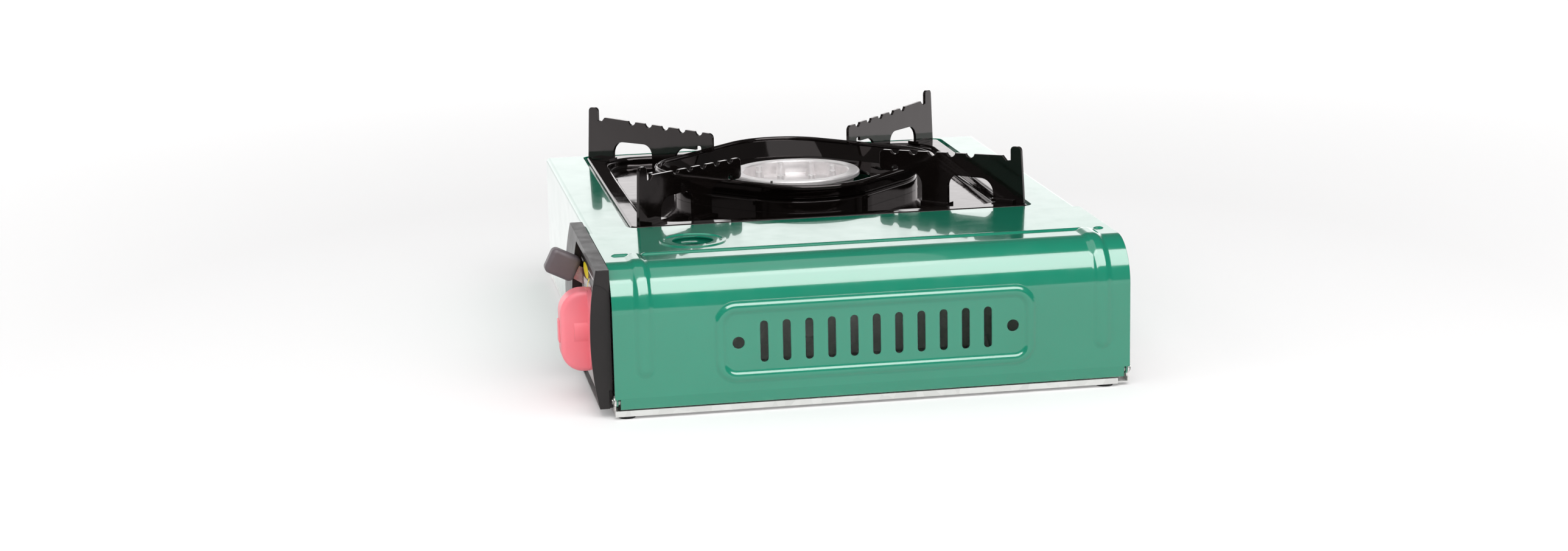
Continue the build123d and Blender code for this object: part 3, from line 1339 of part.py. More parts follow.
def make_lever_bracket():
    """Bent bracket on the divider that carries the outer end of the pivot pin."""
    x0 = divider_x + plate_sheet / 2
    x1 = lever_x + 5.2
    z0 = lever_pivot_z - lever_hub_radius - 3
    y0 = lever_pivot_y - 8
    y1 = lever_pivot_y + 8
    bracket = block(x1 - plate_sheet, x1, y0, y1, z0, lever_pivot_z + 6)
    bracket += block(x0, x1, y0, y1, z0 - plate_sheet, z0)
    bracket += block(x0, x0 + plate_sheet, y0, y1, z0 - 8, z0)
    bracket -= along_x(lever_pin_radius + spindle_fit, lever_pivot_y, lever_pivot_z, x0, x1 + 1)
    return bracket


def make_link_pin():
    """Pin from the lever into the push bar's slot."""
    link_y, link_z = link_start()
    pin = along_x(link_pin_radius, link_y, link_z, bar_x - 0.8, lever_x + lever_sheet / 2)
    pin += along_x(link_pin_radius + 1.0, link_y, link_z, lever_x + lever_sheet / 2,
                   lever_x + lever_sheet / 2 + 1.2)
    return pin


def make_push_bar():
    """Flat bar along the divider that draws the cartridge forward."""
    link_y, link_z = link_start()
    z_mid = link_z
    bar = block(bar_x, bar_x + bar_sheet, bar_front_y, bar_rear_y, z_mid - bar_height / 2, z_mid + bar_height / 2)
    slot = Pos(link_y, link_z + 0.3) * Rot(0, 0, 90) * SlotOverall(2 * link_pin_radius + 2.4,
                                                                 2 * link_pin_radius + 0.5)
    bar -= yz_slab(slot, bar_x - 1, bar_x + bar_sheet + 1)
    return bar


def make_push_plate():
    """Plate at the end of the bar that bears on the cartridge's base."""
    z0 = push_plate_bottom
    x0 = bar_x + bar_sheet
    outline = Pos((x0 + push_plate_right) / 2, (z0 + push_plate_top) / 2) * Rectangle(
        push_plate_right - x0, push_plate_top - z0)
    outline = fillet(outline.vertices().group_by(Axis.X)[-1], 12)
    plate = side_slab(outline, push_plate_y, push_plate_y + plate_sheet)
    plate += block(x0, x0 + plate_sheet, push_plate_y - 12, push_plate_y, link_start()[1] - bar_height / 2,
                   link_start()[1] + bar_height / 2)
    return plate


def make_bar_guides():
    """Two channels on the divider in which the bar slides."""
    guides = []
    x0 = divider_x + plate_sheet / 2
    x1 = bar_x + bar_sheet + slip + 1.0
    z_mid = link_start()[1]
    room = bar_height / 2 + slip
    for y in bar_guide_y:
        guide = block(x0, x1, y, y + bar_guide_length, z_mid - room - 1.0, z_mid + room + 1.0)
        guide -= block(bar_x - slip, bar_x + bar_sheet + slip, y - 1, y + bar_guide_length + 1,
                       z_mid - room, z_mid + room)
        guides.append(guide)
    return guides


# ---- write every sub-part --------------------------------------------------------------------
save("base_tray", make_base_tray())
save("rubber_feet", *make_feet())
save("body_shell", make_body_shell())
save("divider_panel", make_divider())
save("bay_front_plate", make_bay_front_plate())
save("bay_rear_plate", make_bay_rear_plate())
save("cartridge_saddles", make_saddle(saddle_front_y), make_saddle(saddle_rear_y))
save("cartridge_cover", make_cover())
save("cover_hinge_pins", *make_hinge_pins())
save("drip_pan", make_drip_pan())
save("windshield_ring", make_windshield())
for number, corner_name in enumerate(("rear_right", "rear_left", "front_left", "front_right")):
    save(f"pot_support_{corner_name}", make_arm(number))
save("burner_body", make_burner_body())
save("burner_head", make_burner_head())
save("mixing_tube", make_mixing_tube())
save("burner_bracket", make_burner_bracket())
save("burner_screws", *make_burner_screws())
save("regulator_body", make_regulator_body())
save("regulator_diaphragm", make_diaphragm())
save("regulator_cover", make_regulator_cover())
save("regulator_screws", *make_cover_screws())
save("cartridge_stop_plate", make_stop_plate())
save("inlet_nozzle", make_nozzle())
save("inlet_seal", make_inlet_seal())
save("valve_spindle", make_spindle())
save("ignition_cam", make_ignition_cam())
save("piezo_igniter", make_igniter())
save("igniter_plunger", make_plunger())
save("gas_pipe", make_gas_pipe())
save("gas_jet", make_jet())
save("electrode_insulator", make_electrode_body())
save("electrode_tip", make_electrode_tip())
save("electrode_clip", make_electrode_clip())
save("ignition_wire", make_ignition_wire())
save("control_housing", make_housing())
save("control_face_plate", make_face_plate())
save("housing_screws", *make_housing_screws())
save("control_knob", make_knob())
save("lock_lever", make_lever())
save("lever_grip", make_lever_grip())
save("lever_pivot_pin", make_lever_pivot())
save("lever_bracket", make_lever_bracket())
save("lever_link_pin", make_link_pin())
save("push_bar", make_push_bar())
save("push_plate", make_push_plate())
save("push_bar_guides", *make_bar_guides())
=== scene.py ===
import json
import math

import bmesh
import bpy
from mathutils import Matrix, Vector


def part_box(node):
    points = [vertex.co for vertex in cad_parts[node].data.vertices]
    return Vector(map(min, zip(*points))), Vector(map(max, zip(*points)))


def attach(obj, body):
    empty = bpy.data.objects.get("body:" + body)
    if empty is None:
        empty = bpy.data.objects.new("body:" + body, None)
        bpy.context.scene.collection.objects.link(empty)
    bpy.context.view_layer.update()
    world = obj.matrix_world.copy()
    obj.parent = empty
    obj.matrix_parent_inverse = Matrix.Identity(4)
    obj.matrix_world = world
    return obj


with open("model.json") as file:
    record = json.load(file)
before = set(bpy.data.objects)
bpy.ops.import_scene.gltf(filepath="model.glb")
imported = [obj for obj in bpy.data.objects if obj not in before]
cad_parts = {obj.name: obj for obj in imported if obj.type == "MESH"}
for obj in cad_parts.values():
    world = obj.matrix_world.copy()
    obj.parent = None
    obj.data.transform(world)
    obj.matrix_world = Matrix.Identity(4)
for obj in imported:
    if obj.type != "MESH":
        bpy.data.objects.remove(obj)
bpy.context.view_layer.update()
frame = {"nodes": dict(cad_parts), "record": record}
nodes = frame["nodes"]
MM = 0.001


def middle(box):
    """The middle of a box given by its lowest and highest corners."""
    return [(low + high) / 2 for low, high in zip(*box)]


# ---- camera ------------------------------------------------------------------------------------
# The photograph's frame is 2576 x 906 pixels; the lens is given by its focal length in those pixels.
FRAME_WIDTH_PX = 2576
FOCAL_PX = 4631.0
SENSOR_MM = 36.0
CAMERA_PLACE = Vector((1.5685, -0.2915, 0.3898))
CAMERA_YAW = math.radians(9.90)
CAMERA_PITCH = math.radians(12.67)
CAMERA_ROLL = math.radians(-1.24)
CAMERA_NEAREST = 0.01
CAMERA_FARTHEST = 50.0


def make_camera():
    """Camera at the photograph's place, with its lens."""
    data = bpy.data.cameras.new("camera")
    data.sensor_width = SENSOR_MM
    data.lens = SENSOR_MM * FOCAL_PX / FRAME_WIDTH_PX
    data.clip_start = CAMERA_NEAREST
    data.clip_end = CAMERA_FARTHEST
    camera = bpy.data.objects.new("camera", data)
    bpy.context.scene.collection.objects.link(camera)
    forward = Vector((-math.cos(CAMERA_YAW) * math.cos(CAMERA_PITCH),
                      math.sin(CAMERA_YAW) * math.cos(CAMERA_PITCH),
                      -math.sin(CAMERA_PITCH)))
    level = forward.cross(Vector((0, 0, 1))).normalized()
    upright = level.cross(forward)
    right = level * math.cos(CAMERA_ROLL) + upright * math.sin(CAMERA_ROLL)
    up = upright * math.cos(CAMERA_ROLL) - level * math.sin(CAMERA_ROLL)
    turn = Matrix((right, up, -forward)).transposed().to_4x4()
    camera.matrix_world = Matrix.Translation(CAMERA_PLACE) @ turn
    bpy.context.scene.camera = camera


# ---- node helpers ------------------------------------------------------------------------------
BEVEL_SAMPLES = 4


class Tree:
    """Makes and links the nodes of one node tree."""

    def __init__(self, tree):
        self.tree = tree

    def node(self, kind, **inputs):
        """A new node with these input values; an underscore in a name stands for a space."""
        made = self.tree.nodes.new(kind)
        for key, value in inputs.items():
            made.inputs[key.replace("_", " ")].default_value = value
        return made

    def link(self, output, target):
        """Joins a node's output to another node's input."""
        self.tree.links.new(output, target)

    def feed(self, target, value):
        """Gives an input a socket, a number or the three numbers of a colour."""
        if isinstance(value, bpy.types.NodeSocket):
            self.link(value, target)
        elif isinstance(value, (int, float)):
            target.default_value = value
        else:
            target.default_value = (*value, 1.0)

    def math(self, operation, *values):
        """One arithmetic step on sockets or numbers."""
        step = self.node("ShaderNodeMath")
        step.operation = operation
        for target, value in zip(step.inputs, values):
            self.feed(target, value)
        return step.outputs[0]

    def axes(self, place):
        """The X, Y and Z of a place."""
        split = self.node("ShaderNodeSeparateXYZ")
        self.link(place, split.inputs["Vector"])
        return split.outputs["X"], split.outputs["Y"], split.outputs["Z"]

    def span(self, value, low, high, start=0.3, end=0.7, smooth=False):
        """A number that runs from low to high as the value runs from start to end."""
        scale = self.node("ShaderNodeMapRange", From_Min=start, From_Max=end, To_Min=low, To_Max=high)
        if smooth:
            scale.interpolation_type = "SMOOTHSTEP"
        self.link(value, scale.inputs["Value"])
        return scale.outputs["Result"]

    def mix(self, factor, first, second):
        """Mixes two colours; inputs 6 and 7 and output 2 are the node's colour sockets."""
        mix = self.node("ShaderNodeMix")
        mix.data_type = "RGBA"
        self.feed(mix.inputs[0], factor)
        self.feed(mix.inputs[6], first)
        self.feed(mix.inputs[7], second)
        return mix.outputs[2]


class Finish(Tree):
    """A procedural material around one Principled shader; lengths are in metres.

    The colour and roughness that it starts with are plain ones, which its textures take over.
    """

    def __init__(self, name, color, roughness, metallic=0.0):
        self.material = bpy.data.materials.new(name)
        self.material.use_nodes = True
        super().__init__(self.material.node_tree)
        self.shader = self.tree.nodes["Principled BSDF"]
        self.set("Base Color", (*color, 1.0)).set("Roughness", roughness).set("Metallic", metallic)
        self.place = self.node("ShaderNodeTexCoord").outputs["Object"]
        self.height = None

    def set(self, socket, value):
        """Gives one of the shader's own sockets a plain value."""
        self.shader.inputs[socket].default_value = value
        return self

    def mapped(self, **inputs):
        """The place, moved or scaled along its axes."""
        mapping = self.node("ShaderNodeMapping", **inputs)
        self.link(self.place, mapping.inputs["Vector"])
        return mapping.outputs["Vector"]

    def texture(self, kind, place=None, **inputs):
        """A texture over the object, or over a mapped place."""
        made = self.node(kind, **inputs)
        self.link(place or self.place, made.inputs["Vector"])
        return made

    def noise(self, size, detail, place=None):
        """Noise whose blotches are about this size."""
        return self.texture("ShaderNodeTexNoise", place, Scale=1.0 / size, Detail=detail).outputs["Fac"]

    def color(self, value):
        """Links the shader's colour."""
        self.link(value, self.shader.inputs["Base Color"])

    def tones(self, value, dark, light, start=0.3, end=0.7):
        """Colour that runs from dark to light as the value runs from start to end."""
        self.color(self.mix(self.span(value, 0.0, 1.0, start, end), dark, light))

    def roughness(self, value, low, high, start=0.3, end=0.7):
        """Roughness that runs from low to high as the value runs from start to end."""
        self.link(self.span(value, low, high, start, end), self.shader.inputs["Roughness"])

    def soft_edges(self, radius):
        """Rounds the shading of sharp edges by this radius."""
        bevel = self.node("ShaderNodeBevel", Radius=radius)
        bevel.samples = BEVEL_SAMPLES
        self.height = bevel.outputs["Normal"]
        self.link(self.height, self.shader.inputs["Normal"])

    def bump(self, value, depth, strength):
        """Adds relief of this depth to what is there."""
        bump = self.node("ShaderNodeBump", Strength=strength, Distance=depth)
        self.link(value, bump.inputs["Height"])
        if self.height is not None:
            self.link(self.height, bump.inputs["Normal"])
        self.height = bump.outputs["Normal"]
        self.link(self.height, self.shader.inputs["Normal"])


# ---- materials ---------------------------------------------------------------------------------
def green_enamel():
    """Glossy baked green paint on sheet steel, with a faint orange peel."""
    finish = Finish("green_enamel", (0.005, 0.235, 0.14), 0.16)
    finish.set("Coat Weight", 1.0).set("Coat Roughness", 0.03).set("Coat IOR", 1.6)
    finish.set("Specular IOR Level", 1.0)
    finish.tones(finish.noise(60 * MM, 2.0), (0.0045, 0.225, 0.132), (0.0056, 0.246, 0.148))
    finish.roughness(finish.noise(12 * MM, 4.0), 0.12, 0.20)
    finish.soft_edges(0.5 * MM)
    finish.bump(finish.noise(2.6 * MM, 2.0), 0.022 * MM, 0.5)
    finish.bump(finish.noise(0.9 * MM, 1.0), 0.004 * MM, 0.3)
    return finish.material


def black_enamel():
    """Glossy black vitreous enamel with a faint ripple."""
    finish = Finish("black_enamel", (0.0035, 0.0026, 0.0025), 0.06)
    finish.set("Coat Weight", 0.4).set("Coat Roughness", 0.03).set("Coat Tint", (1.0, 0.93, 0.93, 1.0))
    finish.set("Specular IOR Level", 0.5).set("Specular Tint", (1.0, 0.90, 0.90, 1.0))
    finish.tones(finish.noise(30 * MM, 3.0), (0.0030, 0.0024, 0.0022), (0.0048, 0.0036, 0.0032))
    finish.roughness(finish.noise(8 * MM, 3.0), 0.04, 0.11)
    finish.soft_edges(0.6 * MM)
    finish.bump(finish.noise(16 * MM, 1.5), 0.22 * MM, 0.6)
    finish.bump(finish.noise(4 * MM, 2.0), 0.02 * MM, 0.5)
    return finish.material


def galvanised_steel():
    """Zinc-coated sheet with faint spangles."""
    finish = Finish("galvanised_steel", (0.90, 0.89, 0.87), 0.35, 0.6)
    spangles = finish.texture("ShaderNodeTexVoronoi", Scale=1.0 / (6 * MM)).outputs["Color"]
    finish.tones(spangles, (0.85, 0.84, 0.82), (0.95, 0.94, 0.92), 0.2, 0.8)
    finish.roughness(finish.noise(10 * MM, 1.0), 0.30, 0.38)
    finish.bump(finish.noise(1.5 * MM, 2.0), 0.01 * MM, 0.4)
    return finish.material


def zinc_steel():
    """Bright zinc-plated steel, drawn along one way."""
    finish = Finish("zinc_steel", (0.60, 0.60, 0.58), 0.28, 1.0)
    streaks = finish.noise(4 * MM, 4.0, finish.mapped(Scale=(1.0, 0.08, 1.0)))
    finish.tones(streaks, (0.50, 0.50, 0.48), (0.68, 0.68, 0.65))
    finish.roughness(streaks, 0.2, 0.38)
    finish.bump(streaks, 0.01 * MM, 0.4)
    return finish.material


TURNING_SCALE = 450.0   # the wave texture's scale for rings about 0.7 mm apart


def bright_aluminium():
    """Turned aluminium with rings around the burner's axis, dulled by a pale oxide."""
    finish = Finish("aluminium", (0.90, 0.87, 0.87), 0.4, 0.6)
    burner_x, burner_y, _ = middle(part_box("burner_head"))
    rings = finish.texture("ShaderNodeTexWave", finish.mapped(Location=(-burner_x, -burner_y, 0.0)),
                           Scale=TURNING_SCALE, Distortion=0.4, Detail=2.0)
    rings.wave_type = "RINGS"
    rings.rings_direction = "Z"
    finish.tones(finish.noise(6 * MM, 3.0), (0.76, 0.73, 0.73), (0.88, 0.85, 0.85))
    finish.roughness(rings.outputs["Fac"], 0.30, 0.44, 0.0, 1.0)
    finish.soft_edges(0.4 * MM)
    finish.bump(rings.outputs["Fac"], 0.012 * MM, 0.5)
    return finish.material


def cast_alloy():
    """Sandy die-cast alloy."""
    finish = Finish("cast_alloy", (0.42, 0.42, 0.41), 0.5, 1.0)
    finish.tones(finish.noise(10 * MM, 4.0), (0.36, 0.36, 0.35), (0.50, 0.50, 0.49))
    finish.roughness(finish.noise(3 * MM, 4.0), 0.42, 0.62)
    finish.bump(finish.noise(0.7 * MM, 3.0), 0.06 * MM, 0.6)
    return finish.material


def brass():
    """Turned brass."""
    finish = Finish("brass", (0.70, 0.48, 0.18), 0.25, 1.0)
    patches = finish.noise(4 * MM, 4.0)
    finish.tones(patches, (0.60, 0.39, 0.14), (0.78, 0.56, 0.23))
    finish.roughness(patches, 0.2, 0.36)
    finish.bump(finish.noise(0.6 * MM, 2.0, finish.mapped(Scale=(1.0, 0.1, 1.0))), 0.01 * MM, 0.4)
    return finish.material


def coral_plastic():
    """Coral pink moulded plastic."""
    finish = Finish("red_plastic", (0.95, 0.25, 0.295), 0.34)
    finish.set("Subsurface Weight", 0.15).set("Subsurface Radius", (0.004, 0.0012, 0.0012))
    finish.set("Subsurface Scale", 1.0)
    finish.tones(finish.noise(20 * MM, 2.0), (0.93, 0.235, 0.28), (0.97, 0.265, 0.31))
    finish.roughness(finish.noise(5 * MM, 4.0), 0.28, 0.38)
    finish.soft_edges(0.5 * MM)
    finish.bump(finish.noise(0.6 * MM, 2.0), 0.01 * MM, 0.5)
    return finish.material


def black_plastic():
    """Black moulded plastic, satin."""
    finish = Finish("black_plastic", (0.016, 0.0135, 0.0135), 0.34)
    finish.tones(finish.noise(20 * MM, 3.0), (0.014, 0.0118, 0.0118), (0.019, 0.0158, 0.0158))
    finish.roughness(finish.noise(10 * MM, 4.0), 0.28, 0.40)
    finish.soft_edges(0.7 * MM)
    finish.bump(finish.noise(0.5 * MM, 2.0), 0.012 * MM, 0.5)
    return finish.material


def grey_plastic():
    """Dark grey moulded plastic with a fine spark-eroded grain."""
    finish = Finish("grey_plastic", (0.130, 0.108, 0.117), 0.42)
    finish.tones(finish.noise(10 * MM, 3.0), (0.120, 0.100, 0.108), (0.140, 0.117, 0.127))
    finish.roughness(finish.noise(2 * MM, 3.0), 0.36, 0.50)
    finish.soft_edges(0.7 * MM)
    finish.bump(finish.noise(0.4 * MM, 2.0), 0.02 * MM, 0.6)
    return finish.material


def black_rubber():
    """Matt black rubber."""
    finish = Finish("black_rubber", (0.018, 0.018, 0.018), 0.75)
    finish.roughness(finish.noise(2 * MM, 3.0), 0.65, 0.85)
    finish.bump(finish.noise(0.6 * MM, 3.0), 0.03 * MM, 0.6)
    return finish.material


def ceramic():
    """White glazed ceramic."""
    finish = Finish("ceramic", (0.78, 0.76, 0.70), 0.2).set("Coat Weight", 0.5)
    finish.tones(finish.noise(4 * MM, 3.0), (0.74, 0.72, 0.66), (0.82, 0.80, 0.74))
    finish.bump(finish.noise(1.5 * MM, 2.0), 0.01 * MM, 0.4)
    return finish.material


# The printed plate's black band has a lower edge that arches over the knob.
BAND_BOTTOM = 57.5 * MM
BAND_ARCH = 3.0 * MM
BAND_ARCH_WIDTH = 42.0 * MM
BAND_EDGE = 0.1 * MM    # half the width over which black turns to silver


def panel_sheet():
    """Printed control plate: a black band above a satin silver field."""
    finish = Finish("panel_sheet", (0.62, 0.61, 0.61), 0.32)
    knob_x, _, _ = middle(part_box("control_knob"))
    x, _, z = finish.axes(finish.place)
    offset = finish.math("MULTIPLY", finish.math("SUBTRACT", x, knob_x), 1 / BAND_ARCH_WIDTH)
    arch = finish.math("MULTIPLY", finish.math("MULTIPLY", offset, offset), -BAND_ARCH)
    edge = finish.math("SUBTRACT", z, finish.math("ADD", arch, BAND_BOTTOM + BAND_ARCH))
    band = finish.span(edge, 0.0, 1.0, -BAND_EDGE, BAND_EDGE)
    streaks = finish.noise(3 * MM, 4.0, finish.mapped(Scale=(0.06, 1.0, 1.0)))
    silver = finish.mix(finish.span(streaks, 0.0, 1.0), (0.70, 0.68, 0.67), (0.80, 0.78, 0.77))
    finish.color(finish.mix(band, silver, (0.010, 0.009, 0.009)))
    finish.roughness(streaks, 0.25, 0.36)
    finish.bump(streaks, 0.004 * MM, 0.4)
    return finish.material


INK_LIFT = 1.06         # how much brighter the ink is where its film is thin


def print_ink(name, color):
    """Screen-printed ink with a slightly uneven film."""
    finish = Finish(name, color, 0.4)
    finish.tones(finish.noise(1 * MM, 3.0), color, [min(1.0, part * INK_LIFT) for part in color])
    finish.roughness(finish.noise(2 * MM, 3.0), 0.34, 0.48)
    finish.bump(finish.noise(0.5 * MM, 2.0), 0.004 * MM, 0.4)
    return finish.material


MATERIALS = {
    "green_enamel": green_enamel,
    "black_enamel": black_enamel,
    "galvanised_steel": galvanised_steel,
    "zinc_steel": zinc_steel,
    "aluminium": bright_aluminium,
    "cast_alloy": cast_alloy,
    "brass": brass,
    "red_plastic": coral_plastic,
    "black_plastic": black_plastic,
    "grey_plastic": grey_plastic,
    "black_rubber": black_rubber,
    "ceramic": ceramic,
    "panel_sheet": panel_sheet,
}


def dress_nodes():
    """Gives every carried-over solid its procedural material."""
    made = {slot: make() for slot, make in MATERIALS.items()}
    for entry in frame["record"]["subparts"]:
        part = nodes[entry["node"]]
        part.data.materials.clear()
        part.data.materials.append(made[entry["material_slot"]])


# ---- printed marks -----------------------------------------------------------------------------
INK_THICKNESS = 0.06 * MM
RULE_Z = 67.0 * MM
RULE_HALF_THICKNESS = 0.45 * MM
RULE_MARGIN = 2.0 * MM          # bare plate beyond the rule's outer ends
OVAL_X = 101.5 * MM
OVAL_Z = 64.4 * MM
OVAL_HALF_WIDTH = 12.0 * MM
OVAL_HALF_HEIGHT = 3.9 * MM
OVAL_ROOM = 13.0 * MM           # from the oval's middle to the rule's ends beside it
OVAL_POINTS = 48
SCALE_INNER_GAP = 3.2 * MM      # beyond the knob's rim, as are the next two gaps
SCALE_OUTER_GAP = 4.6 * MM
POINTER_GAP = 0.8 * MM
SCALE_START = 105.0             # degrees from +X towards +Z
SCALE_STOP = 140.0
POINTER_HEIGHT = 2.4 * MM
POINTER_HALF_WIDTH = 1.8 * MM


def flat_mark(name, outline, body, material, front_y):
    """A thin printed shape on the control plate, from its outline in X and Z."""
    count = len(outline)
    corners = [(x, y, z) for y in (front_y, front_y - INK_THICKNESS) for x, z in outline]
    sides = [(i, (i + 1) % count, (i + 1) % count + count, i + count) for i in range(count)]
    mesh = bpy.data.meshes.new(name)
    mesh.from_pydata(corners, [], [range(count), range(count, 2 * count), *sides])
    shape = bmesh.new()
    shape.from_mesh(mesh)
    bmesh.ops.recalc_face_normals(shape, faces=shape.faces[:])
    shape.to_mesh(mesh)
    shape.free()
    piece = bpy.data.objects.new(name, mesh)
    bpy.context.scene.collection.objects.link(piece)
    mesh.materials.append(material)
    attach(piece, body)


def arc_points(x, z, radius, start, stop, steps=24):
    """Points on an arc in X and Z, in degrees from +X towards +Z."""
    angles = [math.radians(start + (stop - start) * i / steps) for i in range(steps + 1)]
    return [(x + radius * math.cos(a), z + radius * math.sin(a)) for a in angles]


def rule_outline(start_x, end_x):
    """A level line between two places along X."""
    low, high = RULE_Z - RULE_HALF_THICKNESS, RULE_Z + RULE_HALF_THICKNESS
    return [(start_x, low), (end_x, low), (end_x, high), (start_x, high)]


def oval_outline():
    """The oval that the rule breaks off for."""
    ring = arc_points(0.0, 0.0, 1.0, 0.0, 360.0 - 360.0 / OVAL_POINTS, OVAL_POINTS - 1)
    return [(OVAL_X + OVAL_HALF_WIDTH * u, OVAL_Z + OVAL_HALF_HEIGHT * v) for u, v in ring]


def printed_marks():
    """Plain generic marks around the knob: a rule, an oval, a scale arc and two pointers."""
    white = print_ink("ink_white", (0.80, 0.79, 0.78))
    yellow = print_ink("ink_yellow", (0.90, 0.72, 0.02))
    black = print_ink("ink_black", (0.012, 0.011, 0.011))
    knob_low, knob_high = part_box("control_knob")
    knob_x, _, knob_z = middle((knob_low, knob_high))
    rim = (knob_high.z - knob_low.z) / 2
    plate_low, plate_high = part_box("control_face_plate")

    def scale_outline():
        inner = arc_points(knob_x, knob_z, rim + SCALE_INNER_GAP, SCALE_START, SCALE_STOP)
        return inner + arc_points(knob_x, knob_z, rim + SCALE_OUTER_GAP, SCALE_STOP, SCALE_START)

    def pointer_outline(side):
        z = knob_z + side * (rim + POINTER_GAP)
        return [(knob_x - POINTER_HALF_WIDTH, z), (knob_x + POINTER_HALF_WIDTH, z),
                (knob_x, z + side * POINTER_HEIGHT)]

    for name, outline, ink in (
        ("rule_left", rule_outline(plate_low.x + RULE_MARGIN, OVAL_X - OVAL_ROOM), white),
        ("rule_right", rule_outline(OVAL_X + OVAL_ROOM, plate_high.x - RULE_MARGIN), white),
        ("oval_yellow", oval_outline(), yellow),
        ("scale_arc", scale_outline(), yellow),
        ("pointer_top", pointer_outline(1), black),
        ("pointer_bottom", pointer_outline(-1), black),
    ):
        flat_mark(name, outline, "base", ink, plate_low.y)


# ---- stage -------------------------------------------------------------------------------------
FLOOR_SIZE = 8.0
FLOOR_ROUGHNESS = 0.95
FLOOR_COLOR = (0.80, 0.795, 0.795)
FLOOR_IN_GLOSS = (0.60, 0.597, 0.597)   # the paper as reflections see it
FLOOR_FADE = (0.45, 1.5)                # how far out the paper whitens for the camera
FLOOR_GLOW = (0.16, 0.60)               # what that adds near by and far away
FLOOR_BEHIND = (0.05, -0.20)            # along X, where the paper brightens in reflections
FLOOR_BEHIND_GLOW = 0.55                # what that adds behind the object

WORLD_COLOR = (1.0, 0.995, 0.995, 1.0)
WORLD_WHITE = 1.0                       # to the camera, and low down behind in reflections
WORLD_DARK = 0.07                       # above and in front in reflections
WORLD_LIGHT = 0.5                       # what lights the object
WORLD_BEHIND = (0.35, -0.35)            # the direction's X from in front to behind
WORLD_LOW = (0.45, 0.12)                # the direction's Z from high up to low down

# Name, azimuth and elevation in degrees, distance, width and height in metres, and radiance.
LAMPS = (
    ("key_softbox", 11.0, 54.5, 1.60, 1.80, 1.26, 1.80),
    ("key_sheen", 11.0, 54.5, 1.68, 1.90, 1.32, 2.40),
    ("side_fill", 5.0, 10.0, 2.00, 2.00, 1.00, 2.20),
    ("back_softbox", 172.0, 8.5, 2.00, 4.00, 0.62, 0.55),
    ("top_fill", -90.0, 80.0, 1.80, 1.60, 1.60, 0.60),
    ("front_fill", -70.0, 30.0, 2.00, 1.60, 1.00, 1.30),
)
LAMP_AIM = Vector((0.0, 0.0, 0.05))
ONLY_IN_REFLECTIONS = ("key_sheen",)
NOT_IN_REFLECTIONS = ("side_fill", "front_fill")


def floor_material():
    """White paper: whiter for the camera far away, and for reflections dimmer, but bright behind."""
    paper = Finish("floor_paper", FLOOR_COLOR, FLOOR_ROUGHNESS).set("Specular IOR Level", 0.0)
    rays = paper.node("ShaderNodeLightPath").outputs
    paper.color(paper.mix(rays["Is Glossy Ray"], FLOOR_COLOR, FLOOR_IN_GLOSS))
    reach = paper.node("ShaderNodeVectorMath")
    reach.operation = "LENGTH"
    paper.link(paper.place, reach.inputs[0])
    far = paper.span(reach.outputs["Value"], *FLOOR_GLOW, *FLOOR_FADE)
    seen = paper.math("MULTIPLY", rays["Is Camera Ray"], far)
    x, _, _ = paper.axes(paper.place)
    behind = paper.span(x, 0.0, FLOOR_BEHIND_GLOW, *FLOOR_BEHIND)
    glow = paper.node("ShaderNodeEmission")
    paper.link(paper.math("MULTIPLY_ADD", rays["Is Glossy Ray"], behind, seen), glow.inputs["Strength"])
    total = paper.node("ShaderNodeAddShader")
    paper.link(paper.shader.outputs[0], total.inputs[0])
    paper.link(glow.outputs[0], total.inputs[1])
    paper.link(total.outputs[0], paper.tree.nodes["Material Output"].inputs["Surface"])
    return paper.material


def make_floor():
    """Pale paper floor."""
    half = FLOOR_SIZE / 2
    corners = [(-half, -half, 0), (half, -half, 0), (half, half, 0), (-half, half, 0)]
    mesh = bpy.data.meshes.new("floor")
    mesh.from_pydata(corners, [], [(0, 1, 2, 3)])
    floor = bpy.data.objects.new("floor", mesh)
    bpy.context.scene.collection.objects.link(floor)
    mesh.materials.append(floor_material())


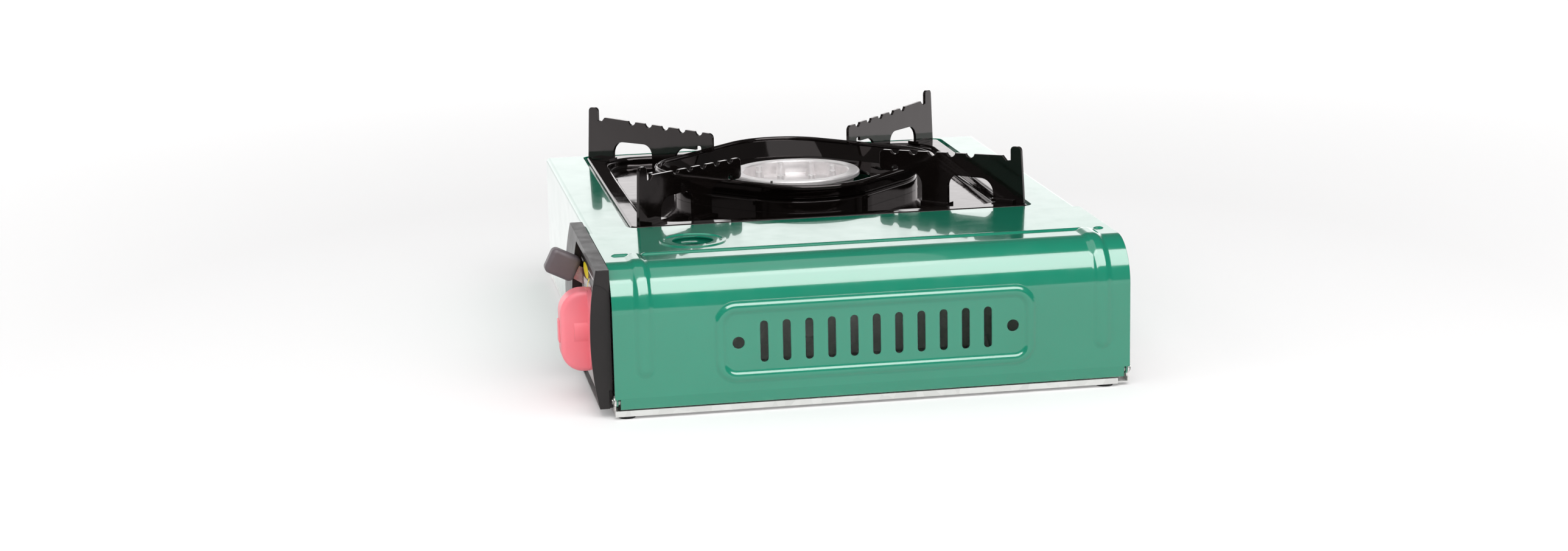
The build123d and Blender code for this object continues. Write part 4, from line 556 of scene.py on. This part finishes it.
def make_world():
    """White to the camera; in reflections white low down behind, darker above and in front."""
    world = bpy.data.worlds.new("studio")
    world.use_nodes = True
    world.node_tree.nodes.clear()
    bpy.context.scene.world = world
    sky = Tree(world.node_tree)

    def background(strength):
        return sky.node("ShaderNodeBackground", Color=WORLD_COLOR, Strength=strength).outputs[0]

    def blend(*values):
        made = sky.node("ShaderNodeMixShader")
        for target, value in zip(made.inputs, values):
            sky.link(value, target)
        return made.outputs[0]

    x, _, z = sky.axes(sky.node("ShaderNodeTexCoord").outputs["Generated"])
    behind = sky.span(x, 0.0, 1.0, *WORLD_BEHIND, smooth=True)
    low = sky.span(z, 0.0, 1.0, *WORLD_LOW, smooth=True)
    mirrored = blend(sky.math("MULTIPLY", behind, low), background(WORLD_DARK), background(WORLD_WHITE))
    rays = sky.node("ShaderNodeLightPath").outputs
    lit = blend(rays["Is Glossy Ray"], background(WORLD_LIGHT), mirrored)
    seen = sky.math("MAXIMUM", rays["Is Camera Ray"], rays["Is Transmission Ray"])
    output = sky.node("ShaderNodeOutputWorld")
    sky.link(blend(seen, lit, background(WORLD_WHITE)), output.inputs["Surface"])


def make_lamp(name, azimuth, elevation, distance, width, height, radiance):
    """Rectangular softbox that faces the object from this direction, with a given brightness."""
    data = bpy.data.lights.new(name, "AREA")
    data.shape = "RECTANGLE"
    data.size = width
    data.size_y = height
    data.energy = radiance * math.pi * width * height
    lamp = bpy.data.objects.new(name, data)
    lamp.visible_camera = False
    lamp.visible_diffuse = name not in ONLY_IN_REFLECTIONS
    lamp.visible_glossy = name not in NOT_IN_REFLECTIONS
    bpy.context.scene.collection.objects.link(lamp)
    turn, rise = math.radians(azimuth), math.radians(elevation)
    away = Vector((math.cos(rise) * math.cos(turn), math.cos(rise) * math.sin(turn), math.sin(rise)))
    lamp.location = away * distance + LAMP_AIM
    lamp.rotation_mode = "QUATERNION"
    lamp.rotation_quaternion = (-away).to_track_quat("-Z", "Y")


# ---- build -------------------------------------------------------------------------------------
make_camera()
dress_nodes()
printed_marks()
make_floor()
make_world()
for lamp_row in LAMPS:
    make_lamp(*lamp_row)
bpy.context.scene.view_settings.view_transform = "Standard"
